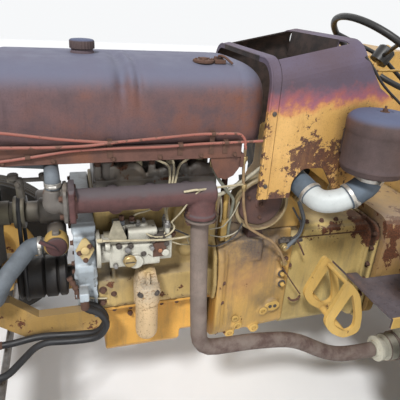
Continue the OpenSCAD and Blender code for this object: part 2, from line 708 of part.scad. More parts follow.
// Bosses on the clutch housing's side: X, Z, diameter, outer Y, diameter of the hole or 0
housing_bosses = [
    [-76, 392, 38, 188, 14], [-98, 436, 36, 204, 12], [-173, 396, 40, 184, 14], [-200, 470, 36, 186, 14],
    [-236, 486, 56, 184, 12], [-256, 624, 34, 180, 0], [-262, 580, 34, 180, 0]
];
gearbox_x1 = -294;
gearbox_x0 = -645;
module clutch_housing() color(paint) engine_frame() difference() {
    union() {
        prism_x(-20, 0, round_rect(-bell_half, bell_half, 378, housing_top + 4, 90));
        prism_x(-34, -20, round_rect(-bell_half + 8, bell_half - 8, 380, housing_top, 84));
        hull() {
            prism_x(-36, -34, housing_front);
            prism_x(gearbox_x1, gearbox_x1 + 2, housing_rear);
        }
        both_sides()
            for (b = housing_bosses)
                cyl_y(130, b[3], b[2], b[0], b[1]);
        cyl_y(130, 196, 22, brake_fitting[0], brake_fitting[1]);
        cyl_y(130, 192, 24, steer_fitting[0], steer_fitting[1]);
        // The flat pads under the tower and the drum
        prism_x(-290, -130, [[-140, 700], [140, 700], [140, housing_top], [-140, housing_top]]);
        prism_x(-162, -24, [[-196, 700], [196, 700], [196, housing_top], [-196, housing_top]]);
    }
    both_sides()
        for (b = housing_bosses)
            if (b[4] > 0) cyl_y(b[3] - 14, b[3] + 1, b[4], b[0], b[1]);
}

gearbox_half = 150;
gearbox_top = 757;
module gearbox() color(paint) engine_frame() {
    prism_x(gearbox_x0, gearbox_x1, round_rect(-gearbox_half, gearbox_half, 356, gearbox_top, 40));
    prism_x(-612, -342, round_rect(
        8 - gearbox_half, gearbox_half - 8, gearbox_top - 60, gearbox_top + 16, 12
    ));
    prism_x(-600, -352, [[-128, 770], [128, 770], [128, 780], [118, 790], [-118, 790], [-128, 780]]);
    // Two ribs beside the joint with the axle housing
    prism_x(gearbox_x0, gearbox_x0 + 16, round_rect(-178, 178, 340, 776, 50));
    prism_x(gearbox_x0 + 30, gearbox_x0 + 42, round_rect(-166, 166, 348, 768, 46));
    // The gear levers on the cover
    for (y = [-40, 40])
        translate([-520, y, 780]) rotate([0, -14, 0]) {
            cylinder(h = 300, d = 16);
            cylinder(h = 50, d1 = 70, d2 = 30);
            translate([0, 0, 300]) sphere(d = 40, $fn = 24);
        }
}

// The trumpets end short of the rear wheels' hubs
trumpet_end = rear_y - 190;
shaft_bore = 60;
axle_shaft_d = 80;
module axle_housing() color(paint) engine_frame() {
    difference() {
        union() {
            prism_x(-1290, gearbox_x0, round_rect(-186, 186, 395, 800, 60));
            prism_x(gearbox_x0 - 26, gearbox_x0, round_rect(-200, 200, 380, 812, 50));
            both_sides() {
                translate([axle_x, 180, rear_r]) rotate([-90, 0, 0])
                    cylinder(h = trumpet_end - 200, d1 = 210, d2 = 126);
                cyl_y(trumpet_end - 25, trumpet_end, 172, axle_x, rear_r);
                cyl_y(186, 206, 260, axle_x, rear_r);
            }
        }
        both_sides() cyl_y(trumpet_end - shaft_bore, trumpet_end + 1, axle_shaft_d + run, axle_x, rear_r);
    }
    // The lift cover with its rocking arms, and the power take-off
    prism_x(-1262, -880, [[-140, 800], [140, 800], [140, 850], [110, 872], [-110, 872], [-140, 850]]);
    cyl_y(-190, 190, 56, -1220, 846);
    both_sides() prism_y(172, 190, rounded([
        [-1192, 874], [-1192, 818], [-1400, 800], [-1426, 812], [-1426, 836], [-1400, 848]
    ], 12));
    cyl_x(-1300, -1290, 150, 0, 540);
    cyl_x(-1380, -1290, 35, 0, 540);
}

drawbar_z = 366;
module drawbar() color(rust) engine_frame() difference() {
    union() {
        box(-1560, -760, -38, 38, drawbar_z - 15, drawbar_z + 15);
        for (x = [-800, -1260])
            box(x, x + 60, -70, 70, drawbar_z + 15, 395);
    }
    cyl_z(drawbar_z - 20, drawbar_z + 20, 28, -1520, 0);
}

// Footplates: a flat part with a turned-down edge, and a sloping toe board whose top is cut slantwise
plate_z = 570;
plate_t = 6;
plate_y1 = 430;
plate_front = -549;
toe_x = -441;
toe_z = 670;
module footplates() color([0.45, 0.36, 0.36]) engine_frame() both_sides() {
    prism_z(plate_z - plate_t, plate_z, [
        [plate_front, 200], [plate_front, plate_y1], [-960, plate_y1], [-960, 200]
    ]);
    difference() {
        prism_y(200, plate_y1, [
            [plate_front, plate_z - plate_t], [plate_front, plate_z], [toe_x, toe_z], [toe_x, toe_z - 9]
        ]);
        prism_z(plate_z + 1, toe_z + 1, [
            [toe_x, 200], [toe_x + 20, 200], [toe_x + 20, plate_y1 + 10], [toe_x - 60, plate_y1 + 10]
        ]);
    }
    box(-960, plate_front, plate_y1 - plate_t, plate_y1, plate_z - 40, plate_z - plate_t);
    box(-600, -556, gearbox_half, 330, plate_z - 18, plate_z - plate_t);
    box(-920, -880, 186, 330, plate_z - 18, plate_z - plate_t);
}

// Two stirrup-shaped step brackets on each side, on a bar from the gearbox
stirrup = [[-372, 722], [-312, 570], [-344, 520], [-404, 484], [-462, 500], [-456, 575], [-425, 665]];
stirrup_hole = [[-397, 672], [-346, 562], [-368, 536], [-406, 510], [-436, 524], [-430, 577], [-408, 642]];
module bracket_loop(y, drop) translate([0, y, -drop]) rotate([90, 0, 0]) linear_extrude(14) difference() {
    polygon(rounded(stirrup, 26));
    polygon(rounded(stirrup_hole, 18));
}
module pedal_brackets() color(paint) engine_frame() both_sides() {
    bracket_loop(250, -8);
    bracket_loop(392, 0);
    cyl_y(gearbox_half, 392, 24, -404, 500);
    cyl_y(236, 392, 14, -390, 690);
}

// Fenders over the rear tyres, with a rolled outer edge
fender_r = rear_r + 80;
fender_y0 = trumpet_end - 31;
fender_y1 = rear_y + rear_tyre_w / 2;
fender_t = 5;
// The arc's front and rear end, in degrees above the axle's front
fender_a0 = 25;
fender_a1 = 142;
function arc(r, a0, a1, n) = [
    for (i = [0:n]) let (a = a0 + (a1 - a0) * i / n) [axle_x + r * cos(a), rear_r + r * sin(a)]
];
function fender_band(r0, r1) = concat(arc(r0, fender_a0, fender_a1, 26), arc(r1, fender_a1, fender_a0, 26));
module fenders() color(paint) engine_frame() both_sides() {
    prism_y(fender_y0, fender_y1, fender_band(fender_r, fender_r - fender_t));
    prism_y(fender_y1 - 6, fender_y1, fender_band(fender_r - fender_t, fender_r - 22));
    difference() {
        prism_y(fender_y0, fender_y0 + 6, concat(
            arc(fender_r - 3, fender_a0, fender_a1, 26),
            [[axle_x - 140, rear_r - 60], [axle_x + 140, rear_r - 60]]
        ));
        cyl_y(fender_y0 - 9, fender_y0 + 11, 130, axle_x, rear_r);
    }
}

module seat() color([0.15, 0.14, 0.13]) engine_frame() {
    cyl_z(872, 930, 70, -1120, 0);
    prism_z(930, 944, round_rect(-1290, -950, -190, 190, 80));
    prism_z(944, 985, round_rect(-1320, -930, -215, 215, 90));
    prism_x(-1330, -1286, round_rect(-215, 215, 975, 1180, 80));
}

// Front support, axle and steering, all set by the height of the front axle
beam_low = front_r + 60;
beam_top = front_r + 145;
boss_low = front_r + 35;
boss_top = front_r + 185;
pivot_z = front_r + 102;
pivot_d = 50;
rail_y0 = 112;
rail_y1 = 148;
bolster_front = axle_fx + 140;
module front_bolster() color(paint) engine_frame() difference() {
    union() {
        both_sides() prism_y(rail_y0, rail_y1, [
            [sump_front, 450], [sump_front, 545], [570, 545], [650, rail_top], [bolster_front, rail_top],
            [bolster_front, rail_low], [690, rail_low], [600, 460]
        ]);
        box(axle_fx - 100, axle_fx - 56, -rail_y0, rail_y0, front_r + 65, rail_top);
        box(axle_fx + 56, bolster_front, -rail_y0, rail_y0, front_r + 65, rail_top);
        box(axle_fx - 56, axle_fx + 56, -rail_y0, rail_y0, rail_top - 20, rail_top);
    }
    cyl_x(axle_fx - 110, bolster_front + 10, pivot_d + run, 0, pivot_z);
    for (y = [-90, 90])
        for (z = [rail_low - 30, rail_low + 50])
            cyl_x(bolster_front - 40, bolster_front + 10, 18, y, z);
}

beam_half = kingpin_y - 30;
kingpin_d = 38;
hub_shaft_d = 40;
module front_axle() color(paint) engine_frame() difference() {
    union() {
        prism_x(axle_fx - 42, axle_fx + 42, [
            [-beam_half, beam_low + 6], [-300, beam_low], [300, beam_low], [beam_half, beam_low + 6],
            [beam_half, beam_top - 16], [300, beam_top], [-300, beam_top], [-beam_half, beam_top - 16]
        ]);
        cyl_x(axle_fx - 55, axle_fx + 55, 110, 0, pivot_z);
        cyl_x(axle_fx - 105, bolster_front + 4, pivot_d, 0, pivot_z);
        both_sides() cyl_z(boss_low, boss_top, 84, axle_fx, kingpin_y);
    }
    both_sides() cyl_z(boss_low - 5, boss_top + 5, kingpin_d + run, axle_fx, kingpin_y);
}

arm_x = axle_fx - steer_arm;
arm_z = front_r + 28;
arm_pin_d = 20;
module knuckle() engine_frame() {
    cyl_z(front_r - 30, boss_low - face_gap, 84, axle_fx, kingpin_y);
    cyl_z(front_r, boss_top + 11, kingpin_d, axle_fx, kingpin_y);
    cyl_z(boss_top + face_gap, boss_top + 17, 64, axle_fx, kingpin_y);
    cyl_y(kingpin_y, front_y - 84, 66, axle_fx, front_r);
    cyl_y(kingpin_y, front_y + 58, hub_shaft_d, axle_fx, front_r);
    translate([axle_fx, front_y + 57, front_r]) rotate([-90, 0, 0]) cylinder(h = 14, d = 60, $fn = 6);
    prism_z(arm_z - 22, arm_z, [
        [arm_x, kingpin_y - 20], [axle_fx, kingpin_y - 34], [axle_fx, kingpin_y + 34], [arm_x, kingpin_y + 20]
    ]);
    cyl_z(arm_z - 22, arm_z, 50, arm_x, kingpin_y);
    cyl_z(arm_z, arm_z + 34, arm_pin_d, arm_x, kingpin_y);
}
module knuckle_left() color(paint) knuckle();
module knuckle_right() color(paint) mirror([0, 1, 0]) knuckle();

// The pin that the steering rod's slotted plate drives
slot_y = kingpin_y - 68;
slot_z = front_r + 72;
tie_rod_z = arm_z + 15;
module tie_rod() color(steel) engine_frame() difference() {
    union() {
        cyl_y(-kingpin_y + 20, kingpin_y - 20, 24, arm_x, tie_rod_z);
        both_sides() cyl_z(arm_z + 2, arm_z + 28, 50, arm_x, kingpin_y);
        cyl_z(tie_rod_z, slot_z + 20, 20, arm_x, slot_y);
    }
    both_sides() cyl_z(arm_z - 8, arm_z + 42, arm_pin_d + run, arm_x, kingpin_y);
}

rod_d = 24;
barrel_y0 = rail_y0 + 6;
barrel_y1 = barrel_y0 + 204;
module steering_cylinder() color([0.20, 0.20, 0.21]) engine_frame() difference() {
    union() {
        cyl_y(barrel_y0, barrel_y1, 54, cylinder_x, cylinder_z);
        cyl_y(barrel_y1 - 14, barrel_y1, 60, cylinder_x, cylinder_z);
        for (y = [barrel_y0 + 18, barrel_y1 - 40])
            box(cylinder_x, axle_fx - 42, y, y + 24, cylinder_z - 22, cylinder_z + 22);
        for (y = ports)
            cyl_x(port_x, cylinder_x, 20, y, cylinder_z);
    }
    cyl_y(barrel_y0 + 6, barrel_y1 + 1, rod_d + run, cylinder_x, cylinder_z);
}

module steering_rod() color([0.75, 0.76, 0.78]) engine_frame() {
    cyl_y(barrel_y1 - 100, slot_y, rod_d, cylinder_x, cylinder_z);
    box(cylinder_x - 16, cylinder_x + 16, slot_y - 17, slot_y + 17, slot_z, slot_z + 48);
    difference() {
        box(arm_x - 32, cylinder_x + 16, slot_y - 22, slot_y + 22, slot_z, slot_z + 12);
        box(arm_x - 16, arm_x + 46, slot_y - 14, slot_y + 14, slot_z - 2, slot_z + 14);
    }
}

// Wheels: outlines are (radius, place along the axle) and are turned about the axle
module on_axle(x, y, z) translate([x, y, z]) rotate([-90, 0, 0]) children();
module turned(outline, sides = 72) rotate_extrude($fn = sides) polygon(outline);
function rim_barrel(seat, half, lip) = [
    [seat - 10, -half + 6], [seat - 4, -half - 10], [seat + lip, -half - 10], [seat + lip, -half - 4],
    [seat, -half], [seat, half], [seat + lip, half + 4], [seat + lip, half + 10], [seat - 4, half + 10],
    [seat - 10, half - 6]
];
module bolt_ring(count, circle_r, d, y0, y1)
    for (i = [0:count - 1])
        rotate([0, 0, 360 * i / count]) translate([circle_r, 0, y0]) cylinder(h = y1 - y0, d = d, $fn = 6);

front_seat_r = front_rim_d / 2;
front_half = 62;
front_lip = 18;
module front_rim() color(paint) engine_frame() on_axle(axle_fx, front_y, front_r) {
    turned(rim_barrel(front_seat_r, front_half, front_lip));
    turned([
        [50, -6], [92, -6], [122, -24], [front_seat_r - 9, -24], [front_seat_r - 9, -16], [126, -16],
        [96, 2], [50, 2]
    ]);
    turned([
        [(hub_shaft_d + run) / 2, -82], [52, -82], [58, -60], [58, 8], [48, 14], [44, 54],
        [(hub_shaft_d + run) / 2, 54]
    ]);
    bolt_ring(6, 76, 24, 2, 14);
}
module front_rim_left() front_rim();
module front_rim_right() mirror([0, 1, 0]) front_rim();

module front_tyre() color(black_rubber) engine_frame() on_axle(axle_fx, front_y, front_r) {
    s = front_seat_r;
    h = front_tyre_w / 2;
    flank = [
        [s, front_half], [s + front_lip, front_half + 4], [s + front_lip + 3, front_half + 14],
        [front_r - 90, h], [front_r - 60, h - 1], [front_r - 30, h - 12], [front_r - 12, h - 28],
        [front_r - 4, h - 30], [front_r - 4, 46], [front_r - 16, 42], [front_r - 16, 32], [front_r - 1, 28],
        [front_r - 1, 18], [front_r - 14, 14], [front_r - 14, 10], [front_r, 7]
    ];
    turned(concat(flank, [for (i = [len(flank) - 1:-1:0]) [flank[i][0], -flank[i][1]]]), 96);
}
module front_tyre_left() front_tyre();
module front_tyre_right() mirror([0, 1, 0]) front_tyre();

rear_seat_r = rear_rim_d / 2;
rear_half = 116;
rear_lip = 24;
// Inner end of the axle shaft, measured from the middle of the tyre
shaft_in = trumpet_end - rear_y - shaft_bore + 5;
module rear_rim() color(paint) engine_frame() on_axle(axle_x, rear_y, rear_r) {
    turned(rim_barrel(rear_seat_r, rear_half, rear_lip));
    turned([
        [70, -6], [150, -6], [200, -34], [rear_seat_r - 9, -34], [rear_seat_r - 9, -24], [204, -24],
        [154, 4], [70, 4]
    ]);
    turned([
        [0, shaft_in], [axle_shaft_d / 2, shaft_in], [axle_shaft_d / 2, -110], [64, -100], [74, -30],
        [130, -24], [130, -5], [84, 3], [74, 30], [50, 44], [0, 44]
    ]);
    bolt_ring(8, 112, 32, -34, 22);
    // Rim lugs between the disc and the barrel
    for (i = [0:7])
        rotate([0, 0, 45 * i + 22.5]) translate([rear_seat_r - 60, -18, -70]) cube([52, 36, 48]);
}
module rear_rim_left() rear_rim();
module rear_rim_right() mirror([0, 1, 0]) rear_rim();

// One lug's outline seen from above: place along the axle, place along the tread
function lug_line(y, lean, w) = [
    [2, lean + w / 2], [y / 2, w / 2 + 4], [y, w / 2 - lean * 0.8], [y, -w / 2 - lean * 0.8],
    [y / 2, -w / 2 + 4], [2, lean - w / 2]
];
lug_lean = 50;
lug_depth = 32;
module rear_tyre(turn) color(black_rubber) engine_frame() on_axle(axle_x, rear_y, rear_r) {
    s = rear_seat_r;
    h = rear_tyre_w / 2;
    carcass_r = rear_r - lug_depth;
    lug_root = carcass_r - 50;
    flank = [
        [s, rear_half], [s + rear_lip, rear_half + 4], [s + rear_lip + 4, rear_half + 16],
        [carcass_r - 188, h - 6],
        [carcass_r - 138, h], [carcass_r - 88, h], [carcass_r - 43, h - 5], [carcass_r - 16, h - 18],
        [carcass_r, h - 50]
    ];
    lug_top = sqrt(rear_r * rear_r - pow(lug_lean + rear_lug_w / 2, 2));
    turned(concat(flank, [for (i = [len(flank) - 1:-1:0]) [flank[i][0], -flank[i][1]]]), 96);
    for (side = [0, 1])
        for (i = [0:rear_lugs - 1])
            rotate([0, 0, turn + 360 * (i + side / 2) / rear_lugs]) mirror([0, 0, side])
                translate([lug_root, 0, 0]) rotate([0, 90, 0]) linear_extrude(lug_top - lug_root)
                    polygon([for (p = lug_line(h - 2, lug_lean, rear_lug_w)) [-p[0], p[1]]]);
}
module rear_tyre_left() rear_tyre(-90);
module rear_tyre_right() mirror([0, 1, 0]) rear_tyre(-90);

engine_block();
cylinder_head();
sump();
timing_cover();
injection_pump();
injector_pipes();
oil_filter();
exhaust_manifold();
exhaust_pipe();
muffler();
water_pump();
fan();
belt_drive();
radiator();
front_shell();
headlamps();
hoses();
fuel_tank();
tank_tray();
fuel_lines();
cowl();
air_cleaner();
intake_elbow();
steering_drum();
steering_column();
steering_wheel();
clutch_housing();
gearbox();
axle_housing();
drawbar();
footplates();
pedal_brackets();
fenders();
seat();
front_bolster();
front_axle();
knuckle_left();
knuckle_right();
tie_rod();
steering_cylinder();
steering_rod();
front_rim_left();
front_rim_right();
front_tyre_left();
front_tyre_right();
rear_rim_left();
rear_rim_right();
rear_tyre_left();
rear_tyre_right();
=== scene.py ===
import math

import bmesh
import bpy
from mathutils import Matrix, Vector, noise


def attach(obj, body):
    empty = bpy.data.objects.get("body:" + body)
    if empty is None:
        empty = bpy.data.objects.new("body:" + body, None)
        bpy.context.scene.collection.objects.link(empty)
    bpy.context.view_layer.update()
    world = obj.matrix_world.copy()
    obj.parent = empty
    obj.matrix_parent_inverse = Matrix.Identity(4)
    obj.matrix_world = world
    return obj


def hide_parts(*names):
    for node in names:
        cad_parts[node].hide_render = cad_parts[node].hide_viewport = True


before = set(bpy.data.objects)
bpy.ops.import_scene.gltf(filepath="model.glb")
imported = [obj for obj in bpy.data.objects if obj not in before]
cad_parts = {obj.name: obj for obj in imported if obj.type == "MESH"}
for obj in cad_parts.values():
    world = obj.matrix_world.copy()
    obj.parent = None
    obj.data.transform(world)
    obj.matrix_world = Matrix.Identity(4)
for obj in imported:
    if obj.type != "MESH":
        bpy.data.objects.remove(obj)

scene = bpy.context.scene
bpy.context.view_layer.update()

# Places below are millimetres from the engine's rear face: X forward, Y left, Z up from the ground
ENGINE_X = 265.0
UP = Vector((0, 0, 1))
DOWN = Vector((0, 0, -1))
FORWARD = Vector((1, 0, 0))
BACK = Vector((-1, 0, 0))
LEFT = Vector((0, 1, 0))
RIGHT = -LEFT

# Edges sharper than this stay sharp, and points closer than this, in metres, become one
SHARP_ANGLE = math.radians(38)
JOIN_DISTANCE = 0.00002
LEAST_RADIUS = 0.2
# The most of a stretch that one rounded corner takes
CORNER_SHARE = 0.48
# A hexagon's radius over its corners, and a bolt head's height, for each millimetre across its flats
HEX_RADIUS = 0.577
HEAD_HEIGHT = 0.62
BOLT_SUNK = 1.5
WASHER_THICKNESS = 2.8
# How fine a casting's uneven skin is
LUMPS_PER_METRE = 45
GRAINS_PER_METRE = 130


def metres(place):
    return Vector(((place[0] + ENGINE_X) / 1000, place[1] / 1000, place[2] / 1000))


# Curves and shapes

def rounded_route(points, radius, steps=6):
    """The route through the points, with each corner turned into a curve."""
    points = [Vector(p) for p in points]
    route = [points[0]]
    for before, corner, after in zip(points, points[1:], points[2:]):
        to_before = before - corner
        to_after = after - corner
        reach = min(radius, to_before.length * CORNER_SHARE, to_after.length * CORNER_SHARE)
        start = corner + to_before.normalized() * reach
        end = corner + to_after.normalized() * reach
        for i in range(steps + 1):
            t = i / steps
            route.append(start * (1 - t) ** 2 + corner * 2 * t * (1 - t) + end * t ** 2)
    route.append(points[-1])
    return route


def smooth_route(points, steps=6):
    """A curve that passes through every point."""
    points = [Vector(p) for p in points]
    padded = [points[0] * 2 - points[1]] + points + [points[-1] * 2 - points[-2]]
    route = []
    for a, b, c, d in zip(padded, padded[1:], padded[2:], padded[3:]):
        for i in range(steps):
            t = i / steps
            bend = (2 * a - 5 * b + 4 * c - d) * t ** 2
            route.append(0.5 * (2 * b + (c - a) * t + bend + (3 * b - a - 3 * c + d) * t ** 3))
    route.append(points[-1])
    return route


def across(axis):
    """Two directions at right angles to the axis."""
    axis = Vector(axis).normalized()
    first = axis.cross(UP if abs(axis.z) < 0.9 else FORWARD).normalized()
    return first, axis.cross(first)


def round_the(count):
    """Equal angles round a circle."""
    return [math.tau * k / count for k in range(count)]


def circle(centre, first, second, radius, sides, ribs=0, rib_depth=0.0):
    points = []
    for a in round_the(sides):
        r = radius - rib_depth * (0.5 + 0.5 * math.cos(ribs * a)) if ribs else radius
        points.append(centre + (first * math.cos(a) + second * math.sin(a)) * r)
    return points


class Shape:
    """Collects the faces of one piece."""

    def __init__(self):
        self.points = []
        self.faces = []

    def loft(self, rings, closed=False):
        """Joins the rings, which have equally many points, and caps both ends unless closed."""
        base = len(self.points)
        count = len(rings[0])
        for ring in rings:
            self.points.extend(Vector(p) for p in ring)
        for i in range(len(rings) if closed else len(rings) - 1):
            near = base + i * count
            far = base + (i + 1) % len(rings) * count
            for k in range(count):
                n = (k + 1) % count
                self.faces.append((near + k, near + n, far + n, far + k))
        if not closed:
            for start in (base, base + (len(rings) - 1) * count):
                self.faces.append(tuple(range(start, start + count)))
        return self

    def turned(self, profile, place, axis=UP, sides=40, ribs=0, rib_depth=0.0, closed=False):
        """Turns pairs of distance along the axis and radius round the axis."""
        axis = Vector(axis).normalized()
        u, v = across(axis)
        rings = []
        for along, radius in profile:
            ribbed = ribs if radius > rib_depth * 3 else 0
            centre = Vector(place) + axis * along
            rings.append(circle(centre, u, v, max(radius, LEAST_RADIUS), sides, ribbed, rib_depth))
        return self.loft(rings, closed)

    def stubs(self, *rows):
        """Short turned forms: place, axis, sides, radius and length, then their tip's distance and radius."""
        for place, axis, sides, radius, length, *tip in rows:
            self.turned([(0, radius), (length, radius)] + ([tuple(tip)] if tip else []), place, axis, sides)
        return self

    def ring_band(self, place, axis, radius, width, thickness, sides=40):
        """A flat band round an axis, such as a clamp."""
        inner = radius - thickness / 2
        outer = radius + thickness / 2
        half = width / 2
        soft = thickness * 0.3
        profile = [
            (-half, inner), (-half, outer - soft), (soft - half, outer),
            (half - soft, outer), (half, outer - soft), (half, inner),
        ]
        return self.turned(profile, place, axis, sides, closed=True)

    def pipe(self, route, radius, sides=14, closed=False):
        """A round pipe along a route; radius is one number or one for each point."""
        radii = radius if isinstance(radius, list) else [radius] * len(route)
        rings = []
        side = None
        for i, point in enumerate(route):
            before = route[i - 1] if closed or i else point
            after = route[(i + 1) % len(route)] if closed or i + 1 < len(route) else point
            along = (after - before).normalized()
            side = across(along)[0] if side is None else (side - along * side.dot(along)).normalized()
            rings.append(circle(point, side, along.cross(side), radii[i], sides))
        return self.loft(rings, closed)

    def wires(self, *rows):
        """Pipes through points: radius, sides and the points."""
        for radius, sides, *points in rows:
            self.pipe(smooth_route(points), radius, sides)
        return self

    def plate(self, outline, axis, start, end, edge=1.0):
        """Extrudes an outline along X, Y or Z, with a small bevel on both ends."""
        middle = Vector([sum(values) / len(outline) for values in zip(*outline)])
        reach = max((Vector(p) - middle).length for p in outline)
        shrink = 1 - edge / reach
        step = edge if end > start else -edge
        rings = []
        for along, scale in ((start, shrink), (start + step, 1), (end - step, 1), (end, shrink)):
            ring = []
            for p in outline:
                a, b = middle + (Vector(p) - middle) * scale
                ring.append({"X": (along, a, b), "Y": (a, along, b), "Z": (a, b, along)}[axis])
            rings.append(ring)
        return self.loft(rings)

    def blocks(self, *rows):
        """Boxes from a low to a high corner, with the size of their bevel."""
        for low, high, edge in rows:
            outline = [(low[0], low[2]), (high[0], low[2]), (high[0], high[2]), (low[0], high[2])]
            self.plate(outline, "Y", low[1], high[1], edge)
        return self

    def bolt(self, place, axis=LEFT, size=14, washer=True, stud=0.0):
        """A hexagon head on a washer; place is where the washer lies."""
        axis = Vector(axis).normalized()
        place = Vector(place) - axis * BOLT_SUNK
        r = size * HEX_RADIUS
        if washer:
            self.turned([(0, r * 1.35), (2.6, r * 1.35), (3.0, r * 1.25)], place, axis, 20)
        start = WASHER_THICKNESS if washer else 0
        top = start + size * HEAD_HEIGHT
        self.turned([(start, r), (top - 1.2, r), (top, r * 0.84)], place, axis, 6)
        self.turned([(top - 0.5, r * 0.78), (top + 0.3, r * 0.7)], place, axis, 16)
        if stud:
            profile = [(top - 1, size * 0.26), (top + stud, size * 0.26), (top + stud + 1, size * 0.2)]
            self.turned(profile, place, axis, 10)
        return self

    def bolts(self, axis, *rows):
        """Bolts along one axis: X, Y, Z and size."""
        for x, y, z, size in rows:
            self.bolt((x, y, z), axis, size)
        return self

    def mesh(self, name):
        data = bpy.data.meshes.new(name)
        data.from_pydata([metres(p) for p in self.points], [], self.faces)
        tidy_mesh(data)
        return data

    def make(self, name, material, *replaced, slot=None, body="chassis"):
        return piece(name, self.mesh(name), material, *replaced, slot=slot, body=body)


def tidy_mesh(data):
    """Joins equal points, turns the faces outwards and keeps the sharp edges sharp."""
    work = bmesh.new()
    work.from_mesh(data)
    bmesh.ops.remove_doubles(work, verts=work.verts, dist=JOIN_DISTANCE)
    bmesh.ops.recalc_face_normals(work, faces=work.faces)
    for face in work.faces:
        face.smooth = True
    for edge in work.edges:
        edge.smooth = len(edge.link_faces) != 2 or edge.calc_face_angle(0) < SHARP_ANGLE
    work.to_mesh(data)
    work.free()


def piece(name, data, material, *replaced, slot=None, body="chassis"):
    obj = bpy.data.objects.new(name, data)
    scene.collection.objects.link(obj)
    data.materials.clear()
    data.materials.append(material)
    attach(obj, body)
    if replaced:
        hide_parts(*replaced)
    return obj


def evaluated_mesh(obj):
    return bpy.data.meshes.new_from_object(obj.evaluated_get(bpy.context.evaluated_depsgraph_get()))


def casting(name, node, material, voxel, passes, rough, extra=None):
    """The node's form as a casting: edges rounded, inner corners filled, skin slightly uneven."""
    work = bmesh.new()
    work.from_mesh(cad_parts[node].data)
    if extra:
        work.from_mesh(extra.mesh(name + "_extra"))
    bmesh.ops.remove_doubles(work, verts=work.verts, dist=JOIN_DISTANCE)
    data = bpy.data.meshes.new(name)
    work.to_mesh(data)
    work.free()
    obj = bpy.data.objects.new(name, data)
    scene.collection.objects.link(obj)
    even = obj.modifiers.new("even", 'REMESH')
    even.mode = 'VOXEL'
    even.voxel_size = voxel / 1000
    even.use_smooth_shade = True
    soft = obj.modifiers.new("soft", 'SMOOTH')
    soft.factor = 0.5
    soft.iterations = passes
    done = evaluated_mesh(obj)
    bpy.data.objects.remove(obj)
    # Normals are read before any point moves, because each move makes Blender work them out again
    normals = [vertex.normal.copy() for vertex in done.vertices]
    for vertex, normal in zip(done.vertices, normals):
        lump = noise.noise(vertex.co * LUMPS_PER_METRE) + 0.5 * noise.noise(vertex.co * GRAINS_PER_METRE)
        vertex.co += normal * min(lump, 0) * rough / 1000
    done.name = name
    return piece(name, done, material, node)


# Materials

